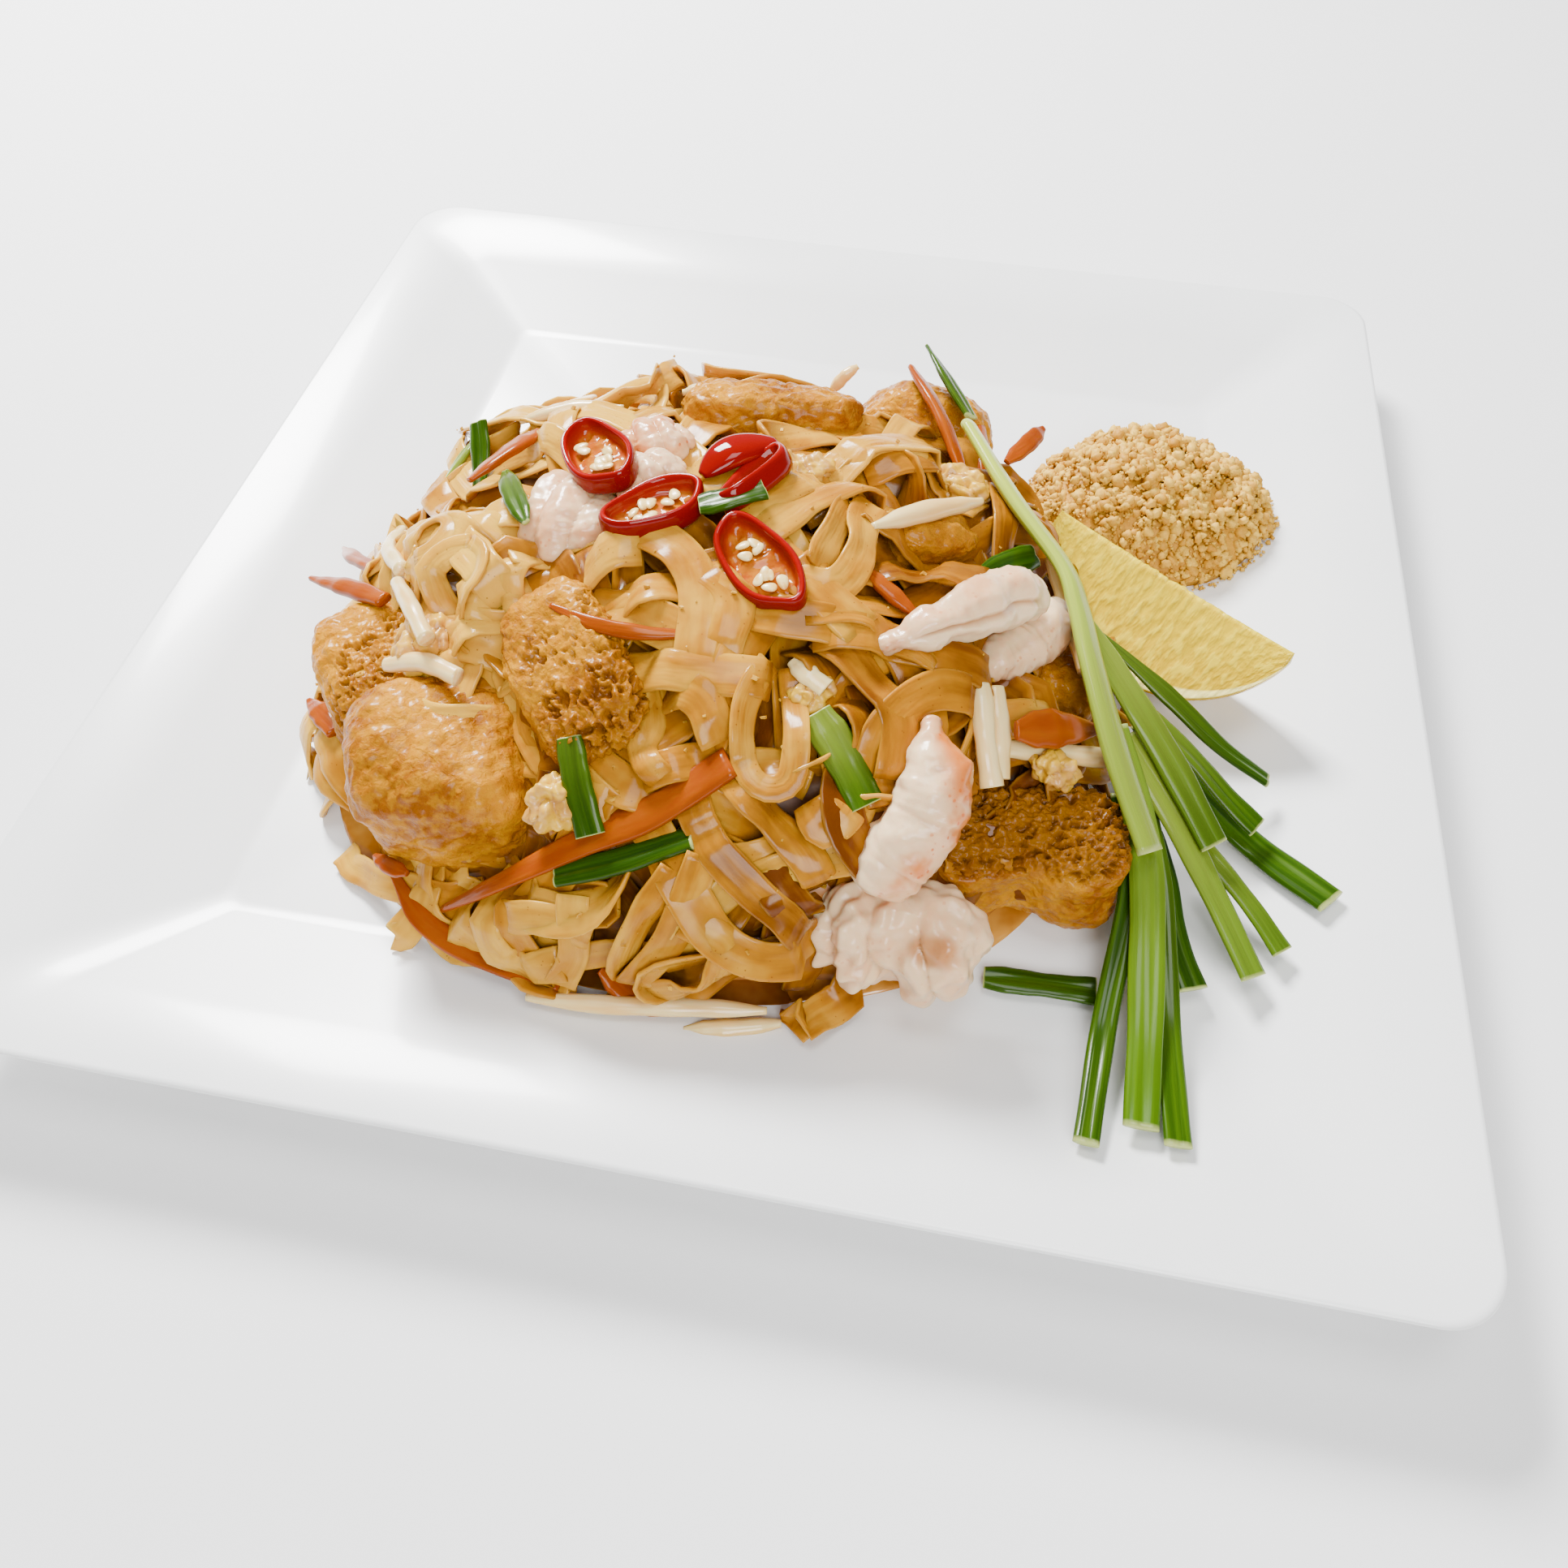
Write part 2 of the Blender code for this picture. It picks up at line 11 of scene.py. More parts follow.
import bpy
import numpy as np
from mathutils import Matrix, Vector
from mathutils.bvhtree import BVHTree


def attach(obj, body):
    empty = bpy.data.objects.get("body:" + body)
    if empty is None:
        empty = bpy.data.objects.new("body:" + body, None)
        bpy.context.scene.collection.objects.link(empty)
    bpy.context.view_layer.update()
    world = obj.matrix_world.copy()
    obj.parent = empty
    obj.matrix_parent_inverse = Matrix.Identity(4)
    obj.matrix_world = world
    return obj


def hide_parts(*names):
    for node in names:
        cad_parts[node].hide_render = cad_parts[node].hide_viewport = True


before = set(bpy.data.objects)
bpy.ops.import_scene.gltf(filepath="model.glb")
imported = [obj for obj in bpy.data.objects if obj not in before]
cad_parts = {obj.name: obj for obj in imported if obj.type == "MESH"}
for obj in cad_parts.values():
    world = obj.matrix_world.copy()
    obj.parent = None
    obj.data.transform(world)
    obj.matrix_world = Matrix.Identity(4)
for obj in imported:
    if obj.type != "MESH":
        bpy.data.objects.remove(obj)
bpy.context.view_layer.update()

bl_info = {
    "name": "Pad Thai Plate",
    "version": (1, 0, 0),
    "blender": (4, 5, 0),
    "location": "3D View > Sidebar > Pad Thai",
    "description": "Lays flat noodles, toppings and garnish on a square plate",
    "category": "Add Mesh",
}

MM = 0.001
TURN = 2 * math.pi

# Plate, as in the CAD model.
PLATE_HALF = 150.0
PLATE_CORNER = 13.0
WELL_HALF = 106.0
WELL_CORNER = 5.0
WELL_FLOOR = 7.0
RIM_TOP = 21.0
RIM_WALL = 4.2
MID_RIM = 130.0
LIP = 1.6
LIP_DEPTH = 1.4
LIP_DROP = 0.45
FOOT_HALF = 92.0
FOOT_WIDTH = 7.0
FOOT_HEIGHT = 2.2

# Noodle heap, as in the CAD model.
HEAP_CENTRE = (-12.0, -28.0)
HEAP_HALF = (93.0, 85.0)
HEAP_HEIGHT = 60.0
HEAP_SQUARENESS = 2.4
HEAP_SHOULDER = 2.3
HEAP_STEEPNESS = 0.6
HEAP_REACH = 89.0

# The heap's flat map: how far it runs on over the plate, where the foot begins to round off, and
# over how many half-millimetre steps on either side it is blurred.
PLATE_BEYOND = 45.0
FOOT_BEGINS = 85.0
FOOT_BLUR = 9

# Lumps: place, half sizes, heading, tilt, squareness, lumpiness, cleft in the near side.
TOFU = {
    "tofu_front": ((-57, -81, 34), (18.5, 17.5, 16.5), 12, 8, 3.6, 0.05, 0),
    "tofu_left": ((-82, -58, 33), (12.5, 14, 12), 35, -10, 2.8, 0.1, 0),
    "tofu_centre": ((-31, -68, 56), (19, 11.5, 8), -54, 0, 3.0, 0.08, 0),
    "tofu_back": ((-7, 16, 57), (20, 9.5, 6.5), 16, 0, 4.0, 0.05, 0),
    "tofu_back_right": ((28, 37, 41.5), (16, 12, 10.5), 8, 6, 3.0, 0.08, 0),
    "tofu_right": ((62, -70, 21.5), (23, 14, 12.5), 4, 0, 3.2, 0.07, 0.3),
    "tofu_shaded": ((64, -34, 31), (10, 9, 10), 15, 0, 3.2, 0.07, 0),
    "tofu_top": ((33, -19, 58), (10, 6.5, 5), 25, 0, 3.0, 0.08, 0),
}
# How open the torn crumb is on the tofu that has one.
SPONGY = {"tofu_centre": 1.0, "tofu_right": 0.9, "tofu_left": 0.45}
PRAWN_LUMPS = {
    "prawn_back": ((-41.5, -31, 61.5), (12.5, 10.5, 6), -30, 0, 2.2, 0.12, 0),
    "prawn_white": ((-26.5, -21.5, 67), (8, 5.5, 5), 30, 0, 2.2, 0.1, 0),
    "prawn_pink": ((-28, -8.5, 66), (8.5, 6, 5), 10, 0, 2.2, 0.1, 0),
    "prawn_butterflied": ((40, -96, 22), (17.5, 11, 13), -6, 0, 2.3, 0.1, 0.42),
}
EGG = {
    "egg_front": ((-28, -91.5, 46), (6.5, 5.5, 5), 20, 0, 2.2, 0.14, 0),
    "egg_left": ((-66, -61, 50), (7.5, 5.5, 4.5), 50, 0, 2.2, 0.12, 0),
    "egg_right": ((66, -60, 37.5), (6.5, 4, 3.5), 20, 0, 2.2, 0.12, 0),
}
EGG_BITS = {
    "egg_bit_back": ((4, -13, 66), (6, 4.5, 4), 20, 0, 2.2, 0.16, 0),
    "egg_bit_right": ((39, 2, 55), (6, 5, 4), -20, 0, 2.2, 0.16, 0),
    "egg_bit_middle": ((17, -66, 58), (4, 3, 3), 10, 0, 2.2, 0.18, 0),
}
# The CAD lumps' own dents and cleft, and the low or tall ones that don't lean with the heap.
DENTS = 4
DENT_PITCH = 3.2
CLEFT_WIDTH = 0.28
LEVEL_BELOW = 36
LEVEL_FROM = 14

# Chilli slices: middle, half length, half width, heading, tilt, thickness, lift.
CHILLI = {
    "chilli_1": ((-36, -21), 12.0, 7.0, -50, 6, 5.0, 5.0),
    "chilli_2": ((-21, -35), 11.2, 6.8, 38, -8, 5.0, 4.5),
    "chilli_4": ((-3, -24.5), 10.5, 5.0, 66, -38, 5.0, 6.0),
    "chilli_5": ((2, -45.5), 12.4, 6.8, -44, 10, 5.0, 5.0),
}
CHILLI_WALL = 1.584
SEEDS_IN_SLICE = 9
SEED_HALF = (1.7, 1.15, 0.5)

# Strands: route, width, thickness, share of the width along the length.
STEM = (0.8, 1.0, 1.0, 1.0, 1.0, 1.0)
SPINDLE = (0.35, 0.85, 1.0, 1.0, 0.85, 0.35)
POINTED = (0.25, 0.7, 1.0, 1.0, 1.0, 0.9)
PRAWN = (0.3, 0.42, 0.62, 0.72, 0.9, 0.97, 0.93, 1.0, 0.9, 0.55)
CHIVES = {
    "chive_stalk": ([(38, 19, 58), (50, -2, 56.5), (62, -18, 54), (66, -28, 52.5), (70, -41, 49.5),
                     (77, -57, 42), (86, -73, 33)], 7.5, 3.4, STEM),
    "chive_2": ([(67, -26, 47.5), (79, -39, 41), (90, -50, 33), (101, -63, 24.5)], 6.5, 2.2, STEM),
    "chive_3": ([(71, -22, 41), (90, -31, 32), (103, -36, 24), (115, -38, 17)], 4.6, 1.8, POINTED),
    "chive_4": ([(80, -46, 35), (93, -59, 25.5), (103, -73, 19), (111, -87, 15)], 6.0, 2.0, STEM),
    "chive_5": ([(94, -54, 20.5), (109, -70, 17.5), (117, -80, 15)], 4.8, 1.8, STEM),
    "chive_6": ([(81, -35, 34), (95, -42, 27.5), (105, -48, 21.5), (112, -52, 18)], 5.5, 1.8, STEM),
    "chive_7": ([(85, -32, 24), (100, -43, 16), (113, -53, 12.5), (127, -67, 16.5)], 7.0, 2.0, STEM),
    "chive_8": ([(80, -58, 31), (84.5, -74, 23), (82, -102, 14), (79, -128, 16.5)], 5.0, 1.8, STEM),
    "chive_9": ([(77, -47, 39), (86, -69, 28), (89, -96, 18.5), (89, -123, 16)], 7.0, 2.2, STEM),
    "chive_10": ([(86, -52, 25), (91, -72, 19.5), (94, -99, 14.5), (96, -125, 15.5)], 5.5, 1.8, STEM),
    "chive_11": ([(86, -51, 19.5), (92, -66, 16.5), (96, -80, 13), (100, -90, 11.5)], 6.2, 1.8, STEM),
    "chive_flat": ([(58, -94, 9.5), (70, -93.5, 9.5), (81, -93, 9.5)], 6.0, 2.0, STEM),
    "chive_dark_end": ([(44, -30, 59), (50, -22, 56), (56, -14, 52)], 6.0, 2.0, POINTED),
    "chive_tip": ([(25, 46, 59), (32, 34, 58), (38, 25, 56)], 5.5, 2.0, POINTED),
    "green_front_upright": ([(-27, -83, 56), (-24, -90, 52), (-20, -97.5, 46)], 6.0, 2.2, STEM),
    "green_front_low": ([(-26.5, -103, 38), (-13.5, -99.5, 42.5), (-1, -95, 47)], 5.4, 2.6, STEM),
    "green_centre": ([(18, -71, 59), (24, -77, 55), (30, -84, 50)], 7.5, 2.6, STEM),
    "green_top": ([(-12, -35, 73.5), (-6, -33, 74.5), (0, -29.5, 75)], 6.0, 2.0, STEM),
    "green_left_top": ([(-59, -20, 62), (-54, -29, 65), (-47, -40, 67.5)], 5.0, 2.0, SPINDLE),
    "green_back_1": ([(-84, -9, 41), (-80, -2, 46), (-77, 4, 49)], 4.5, 1.8, SPINDLE),
    "green_back_2": ([(-71, -12, 47), (-72, -5, 51.5), (-74, 2, 56)], 5.5, 1.8, STEM),
}
# Paleness at the start and at the end, and how yellow, for each green strand.
GREENS = {
    "chive_stalk": (0.95, 0.4, 0.6), "chive_2": (0.35, 0.05, 0.3), "chive_3": (0.1, 0.0, 0.1),
    "chive_4": (0.4, 0.1, 0.5), "chive_5": (0.2, 0.05, 0.4), "chive_6": (0.15, 0.0, 0.2),
    "chive_7": (0.0, 0.0, 0.1), "chive_8": (0.0, 0.0, 0.15), "chive_9": (0.2, 0.0, 1.0),
    "chive_10": (0.05, 0.0, 0.3), "chive_11": (0.0, 0.0, 0.1), "chive_flat": (0.0, 0.0, 0.1),
    "chive_dark_end": (0.0, 0.0, 0.0), "chive_tip": (0.0, 0.05, 0.0),
    "green_front_upright": (0.05, 0.0, 0.1), "green_front_low": (0.0, 0.0, 0.0),
    "green_centre": (0.3, 0.0, 0.3), "green_top": (0.0, 0.0, 0.1), "green_left_top": (0.1, 0.0, 0.3),
    "green_back_1": (0.5, 0.3, 0.7), "green_back_2": (0.0, 0.0, 0.2),
}
CARROTS = {
    "carrot_long": ([(-53, -104, 19), (-38, -103, 33), (-21, -96.5, 43), (-9, -91.5, 48.5),
                     (4, -83, 56)], 7.0, 2.6, (0.25, 0.6, 0.7, 0.9, 1.0, 1.0)),
    "carrot_curved": ([(-36, -60, 66), (-26, -63.5, 66.5), (-16, -64, 66.5), (-7, -62, 66)],
                      3.0, 2.0, SPINDLE),
    "carrot_front": ([(-67, -97, 18), (-57, -106, 15.5), (-43, -111, 14), (-26, -114.5, 14)],
                     5.0, 2.4, SPINDLE),
    "carrot_leaf": ([(56, -61, 50), (64, -55, 45), (74, -47, 37)], 8.0, 2.6,
                    (0.5, 0.9, 1, 0.9, 0.6, 0.2)),
    "carrot_back": ([(22, 40, 57), (31, 23, 57), (39, 7, 52.5)], 4.6, 2.4, SPINDLE),
    "carrot_right": ([(48, 23, 46), (52, 31, 45), (56, 41, 43)], 4.6, 2.2, SPINDLE),
    "carrot_left": ([(-106, -35, 36), (-93, -41, 41.5), (-80, -48, 47)], 4.4, 2.4, POINTED),
}
CARROT_BITS = {
    "carrot_bit_middle": ([(21, -38, 66), (28, -43, 64.5), (34, -46, 62)], 3.4, 2.0, SPINDLE),
    "carrot_bit_left": ([(-110, -14, 25), (-100, -25, 34), (-90, -33, 40)], 3.6, 2.2, POINTED),
    "carrot_bit_foot": ([(-18, -111, 18), (-11, -113, 12), (-4, -114, 9)], 5.0, 2.2, SPINDLE),
    "carrot_bit_back": ([(40, 38, 47), (42, 22, 48), (45, 6, 46)], 3.6, 2.2, SPINDLE),
    "carrot_bit_leaf": ([(-67, -22, 60), (-62, -14, 61), (-57, -3, 60)], 6.0, 2.2, SPINDLE),
    "carrot_bit_low": ([(-71, -95, 20), (-66, -98, 22), (-61, -100, 24)], 3.6, 2.2, SPINDLE),
    "carrot_bit_edge": ([(-100, -60, 23), (-95, -64, 25), (-88, -70, 27)], 5.0, 2.4, POINTED),
}
SPROUTS = {
    "sprout_left": ([(-76, -47, 52), (-68, -57, 56), (-61, -66, 58)], 3.8, 3.4, STEM),
    "sprout_right": ([(22, -29, 68), (32, -19, 65), (43, -7, 59)], 4.6, 4.0, SPINDLE),
    "sprout_upright": ([(48, -54, 54), (50, -63, 50), (53, -71, 44)], 4.8, 4.0, STEM),
    "sprout_front": ([(-32, -117.5, 13.5), (-15, -116, 13.5), (1, -113.5, 13.5), (16, -111.5, 13.5)],
                     4.4, 3.4, SPINDLE),
}
SPROUT_BITS = {
    "sprout_bit_low": ([(54, -61, 44), (65, -56, 38.5), (79, -51, 33)], 4.2, 3.4, STEM),
    "sprout_bit_stem": ([(60, -11, 49), (65, -23, 45.5), (70, -36, 42)], 4.4, 3.6, STEM),
    "sprout_bit_upright": ([(51, -52, 51.5), (53, -60, 47.5), (54.5, -68, 43)], 4.6, 3.6, STEM),
    "sprout_bit_cut": ([(12, -61, 61.5), (15, -64, 61.5), (19, -66, 60.5)], 4.4, 1.8, STEM),
    "sprout_bit_foot": ([(0, -117, 10), (9, -115, 10), (19, -112, 10)], 4.2, 3.0, SPINDLE),
    "sprout_bit_back": ([(3, 39, 48), (6, 40, 52), (9, 42, 54)], 3.4, 3.0, SPINDLE),
    "sprout_bit_rear": ([(-64, 3, 57), (-52, 6, 60), (-40, 7, 61)], 3.8, 3.2, SPINDLE),
    "sprout_bit_side": ([(-86, -24, 44), (-84, -34, 48), (-76, -44, 53)], 3.8, 3.2, STEM),
    "sprout_bit_cross": ([(-72, -66, 48), (-62, -68, 53), (-53, -72, 55)], 4.0, 3.2, STEM),
    "sprout_bit_top": ([(-28, 15, 61), (-24, 15, 62), (-20, 13, 62)], 3.4, 3.0, SPINDLE),
}
PRAWNS = {
    "prawn_front": ([(39, -67, 58), (40, -72, 57), (42, -78, 53), (41, -84, 48), (36, -90, 42),
                     (33, -95, 37)], 14.6, 13.4,
                    (0.22, 0.36, 0.74, 0.92, 0.97, 1.0, 0.98, 1.0, 0.9, 0.6)),
    "prawn_right": ([(27, -56, 62), (35, -51, 64), (44, -43, 62.5), (51, -34, 59), (57, -28, 53)],
                    12.0, 11.0, PRAWN),
    "prawn_shaded": ([(64, -18, 40), (61, -27, 45), (55, -36, 46), (48, -46, 48)], 12.0, 11.0, SPINDLE),
}
# Rings along the body, how deep they are, where the slit runs (angle), its depth, and the blush.
PRAWN_LOOKS = {
    "prawn_front": (3.6, 0.035, 2.6, 0.35, 1.15),
    "prawn_right": (2.2, 0.02, 0.9, 1.0, 0.55),
    "prawn_shaded": (3.4, 0.03, 1.5, 0.5, 0.6),
}
LUMP_BLUSH = {"prawn_butterflied": 0.25, "prawn_pink": 0.8}
# The one slice that lies skin up: route, width, thickness.
CHILLI_SKIN = ([(-14, -24, 71.5), (-9, -17.5, 73), (-1, -11.5, 72)], 8.5, 3.6)

# Lemon wedge, as in the CAD model.
LEMON_HALF_LENGTH = 33.0
LEMON_RADIUS = 25.0
LEMON_HALF_ANGLE = math.radians(31)
LEMON_EDGE = (90.0, 4.0, 34.0)
LEMON_HEADING = math.radians(-35)
LEMON_ROLL = math.radians(20)

PEANUT_CENTRE = (89.0, 55.0)
PEANUT_HALF = (32.0, 27.5)
PEANUT_CORE_HEIGHT = 20.0
# Crumbs on the peanut heap: how many, smallest and largest, cuts on each side, and how far they spill.
PEANUT_CRUMBS = ((1900, 1.3, 3.9, 2, 1.0), (3200, 0.8, 1.9, 1, 1.06))

# Camera: place, aim (metres) and lens (mm on a 36 mm sensor).
CAMERA_PLACE = (0.03858, -0.2131, 0.23698)
CAMERA_AIM = (0.00731, -0.04686, 0.0)
CAMERA_LENS = 27.95


# ---------------------------------------------------------------- shape tools


def unit(vectors):
    """Each vector divided by its length."""
    return vectors / np.maximum(np.linalg.norm(vectors, axis=-1, keepdims=True), 1e-9)


def ease(values):
    """A smooth step: 0 below 0, 1 above 1, three times the square less twice the cube between."""
    t = np.clip(values, 0, 1)
    return t * t * (3 - 2 * t)


def waves(points, size, seed, count=20):
    """Soft unevenness from -1 to 1: sine waves of about one size, in many directions, added up."""
    draw = np.random.default_rng(seed)
    way = unit(draw.normal(size=(count, 3))) * TURN / (size * draw.uniform(0.6, 1.6, (count, 1)))
    phase = draw.uniform(0, TURN, count)
    return np.sin(points @ way.T + phase).sum(1) / math.sqrt(count) * 0.8


def wrinkles(points, size, seed, count=14):
    """Creases from 0 to 1: one less the size of a soft wave, so narrow valleys run between swells."""
    return 1 - np.abs(waves(points, size, seed, count)) ** 0.7


def turned(heading, tilt):
    """The matrix that tilts about X and then turns about Z, in radians."""
    return Matrix.Rotation(heading, 3, "Z") @ Matrix.Rotation(tilt, 3, "X")


def even_route(points, count):
    """Evenly spaced places on a Catmull-Rom curve through the given points."""
    route = np.array(points, float)
    ends = np.concatenate([[2 * route[0] - route[1]], route, [2 * route[-1] - route[-2]]])
    t = np.linspace(0, len(route) - 1, 24 * len(route))
    k = np.minimum(t.astype(int), len(route) - 2)
    u = (t - k)[:, None]
    p0, p1, p2, p3 = (ends[k + i] for i in range(4))
    fine = 0.5 * (2 * p1 + (p2 - p0) * u + (2 * p0 - 5 * p1 + 4 * p2 - p3) * u**2
                  + (3 * p1 - p0 - 3 * p2 + p3) * u**3)
    along = np.concatenate([[0], np.cumsum(np.linalg.norm(np.diff(fine, axis=0), axis=1))])
    steps = np.linspace(0, along[-1], count)
    return np.stack([np.interp(steps, along, fine[:, i]) for i in range(fine.shape[1])], 1)


def carried(path, up, section, width, thickness, roll=0.0):
    """An outline carried along a path: side and lift vectors stand square to it, turned by roll.

    Each ring is path + side * width / 2 * section x + lift * thickness / 2 * section y.
    """
    ahead = unit(np.gradient(path, axis=0))
    side = unit(np.cross(ahead, up))
    lift = np.cross(side, ahead)
    c, s = np.cos(roll), np.sin(roll)
    c, s = (np.broadcast_to(v, len(path))[:, None] for v in (c, s))
    side, lift = side * c + lift * s, lift * c - side * s
    across = np.broadcast_to(width, len(path))[:, None, None] / 2 * section[None, :, 0:1]
    above = np.broadcast_to(thickness, len(path))[:, None, None] / 2 * section[None, :, 1:2]
    return path[:, None] + across * side[:, None] + above * lift[:, None]


def tube_quads(rows, around):
    """Quads between neighbouring rings, and strips of quads that close both ends."""
    i = np.arange(rows - 1)[:, None] * around
    j = np.arange(around)[None]
    n = (j + 1) % around
    walls = np.stack([i + j, i + around + j, i + around + n, i + n], -1).reshape(-1, 4)
    k = np.arange(around // 2 - 1)
    cap = np.stack([k, k + 1, around - 2 - k, around - 1 - k], -1)
    return np.concatenate([walls, cap, cap[:, ::-1] + (rows - 1) * around])


def oval(around, squareness=2.0):
    """A closed outline: a superellipse of half size 1, from even angles."""
    angle = np.linspace(0, TURN, around, endpoint=False)
    c, s = np.cos(angle), np.sin(angle)
    reach = (np.abs(c) ** squareness + np.abs(s) ** squareness) ** (-1 / squareness)
    return np.stack([c * reach, s * reach], 1)


def cube_net(cuts):
    """The surface of a cube of half size 1 as a welded net of cuts by cuts squares on each side."""
    line = np.linspace(-1, 1, cuts + 1)
    a, b = (g.ravel() for g in np.meshgrid(line, line, indexing="ij"))
    one = np.ones_like(a)
    sides = [(one, a, b), (-one, b, a), (b, one, a), (a, -one, b), (a, b, one), (b, a, -one)]
    points = np.concatenate([np.stack(side, 1) for side in sides])
    i, j = (g.ravel() for g in np.meshgrid(np.arange(cuts), np.arange(cuts), indexing="ij"))
    step = cuts + 1
    quad = np.stack([i * step + j, (i + 1) * step + j, (i + 1) * step + j + 1, i * step + j + 1], 1)
    quads = np.concatenate([quad + f * step * step for f in range(6)])
    welded, back = np.unique(np.round(points, 6), axis=0, return_inverse=True)
    return welded, back.ravel()[quads]


def net_normals(points, quads):
    """Outward vectors at the points of a net: the cross products of its quads' diagonals, added up."""
    a, b, c, d = (points[quads[:, i]] for i in range(4))
    face = np.cross(c - a, d - b)
    total = np.zeros_like(points)
    for i in range(4):
        np.add.at(total, quads[:, i], face)
    return unit(total)


class Batch:
    """Collects nets of points and quads, with values for each point, into one mesh."""

    def __init__(self):
        self.points, self.quads, self.values, self.total = [], [], {}, 0

    def add(self, points, quads, **values):
        """Adds a closed net, its faces turned outwards.

        A closed net's volume is the sum over its triangles of a . (b x c); where that comes out
        below nothing the quads are reversed.
        """
        points = points.reshape(-1, 3)
        a, b, c, d = (points[quads[:, k]] - points.mean(0) for k in range(4))
        if (a * (np.cross(b, c) + np.cross(c, d))).sum() < 0:
            quads = quads[:, ::-1]
        self.points.append(points)
        self.quads.append(quads + self.total)
        for name, value in values.items():
            self.values.setdefault(name, []).append(np.broadcast_to(value, len(points)))
        self.total += len(points)

    def piece(self, name, material, slot, replaced=(), smooth=True):
        """The collected nets as one object that rides on the part's only body."""
        points = np.concatenate(self.points) * MM
        quads = np.concatenate(self.quads)
        mesh = bpy.data.meshes.new(name)
        mesh.vertices.add(len(points))
        mesh.vertices.foreach_set("co", points.astype(np.float32).ravel())
        mesh.loops.add(quads.size)
        mesh.loops.foreach_set("vertex_index", quads.astype(np.int32).ravel())
        mesh.polygons.add(len(quads))
        mesh.polygons.foreach_set("loop_start", np.arange(0, quads.size, 4, dtype=np.int32))
        mesh.polygons.foreach_set("use_smooth", np.full(len(quads), smooth))
        mesh.update(calc_edges=True)
        for label, parts in self.values.items():
            layer = mesh.attributes.new(label, "FLOAT", "POINT")
            layer.data.foreach_set("value", np.concatenate(parts).astype(np.float32))
        mesh.validate()
        mesh.materials.append(material)
        made = bpy.data.objects.new(name, mesh)
        bpy.context.scene.collection.objects.link(made)
        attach(made, "root")
        if replaced:
            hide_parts(*replaced)
        return made


def single(name, material, slot, replaced, points, quads, **values):
    """One net as a piece of its own."""
    batch = Batch()
    batch.add(points, quads, **values)
    return batch.piece(name, material, slot, replaced)


# ---------------------------------------------------------------- the heap's own map


def plate_top(x, y):
    """Height of the plate's upper face: flat in the well, then rising evenly to the rim."""
    reach = np.maximum(np.abs(x), np.abs(y))
    slope = (RIM_TOP - WELL_FLOOR) / (PLATE_HALF - WELL_HALF)
    return WELL_FLOOR + np.clip(reach - WELL_HALF, 0, None) * slope


def heap_height(x, y):
    """Height of the noodle heap: a superellipse outline under a dome that steepens to its foot."""
    across = np.abs((x - HEAP_CENTRE[0]) / HEAP_HALF[0]) ** HEAP_SQUARENESS
    along = np.abs((y - HEAP_CENTRE[1]) / HEAP_HALF[1]) ** HEAP_SQUARENESS
    reach = (across + along) ** (1 / HEAP_SQUARENESS)
    return WELL_FLOOR + HEAP_HEIGHT * np.clip(1 - reach**HEAP_SHOULDER, 0, 1) ** HEAP_STEEPNESS


def heap_normal(x, y):
    """The heap's upward normal, from its heights two millimetres apart."""
    dx = (heap_height(x + 1, y) - heap_height(x - 1, y)) / 2
    dy = (heap_height(x, y + 1) - heap_height(x, y - 1)) / 2
    return Vector((-dx, -dy, 1.0)).normalized()


def heap_profile():
    """The dome's side view, run on over the plate with a rounded foot, by distance from the top."""
    turn = np.linspace(0, math.pi / 2, 500)
    out = np.sin(turn) ** (2 / HEAP_SHOULDER) * HEAP_REACH
    up = np.cos(turn) ** (2 * HEAP_STEEPNESS) * HEAP_HEIGHT
    out = np.concatenate([out, HEAP_REACH + np.linspace(0.2, PLATE_BEYOND, 150)])
    up = np.concatenate([up, np.zeros(150)])
    along = np.concatenate([[0], np.cumsum(np.hypot(np.diff(out), np.diff(up)))])
    steps = np.arange(0, along[-1], 0.5)
    out, up = np.interp(steps, along, out), np.interp(steps, along, up)
    window = np.ones(2 * FOOT_BLUR + 1) / (2 * FOOT_BLUR + 1)
    soft = [np.convolve(np.pad(v, FOOT_BLUR, "edge"), window, "valid") for v in (out, up)]
    foot = ease((steps - FOOT_BEGINS) / 15)
    return steps, out * (1 - foot) + soft[0] * foot, up * (1 - foot) + soft[1] * foot


PROFILE = heap_profile()
FOOT_REACH = float(PROFILE[0][np.argmax(PROFILE[2] < 2.0)])


def edge_share(angle):
    """How far the heap's superellipse outline lies out at an angle, for a half size of 1."""
    return (np.abs(np.cos(angle)) ** HEAP_SQUARENESS
            + np.abs(np.sin(angle)) ** HEAP_SQUARENESS) ** (-1 / HEAP_SQUARENESS)


def on_heap(flat):
    """Points on the dome from its flat map, whose distances from the middle run along the dome."""
    reach = np.hypot(flat[..., 0], flat[..., 1])
    angle = np.arctan2(flat[..., 1], flat[..., 0])
    share = np.interp(reach, PROFILE[0], PROFILE[1]) / HEAP_REACH * edge_share(angle)
    x = HEAP_CENTRE[0] + HEAP_HALF[0] * share * np.cos(angle)
    y = HEAP_CENTRE[1] + HEAP_HALF[1] * share * np.sin(angle)
    z = WELL_FLOOR + np.interp(reach, PROFILE[0], PROFILE[2])
    return np.stack([x, y, np.maximum(z, plate_top(x, y))], -1)


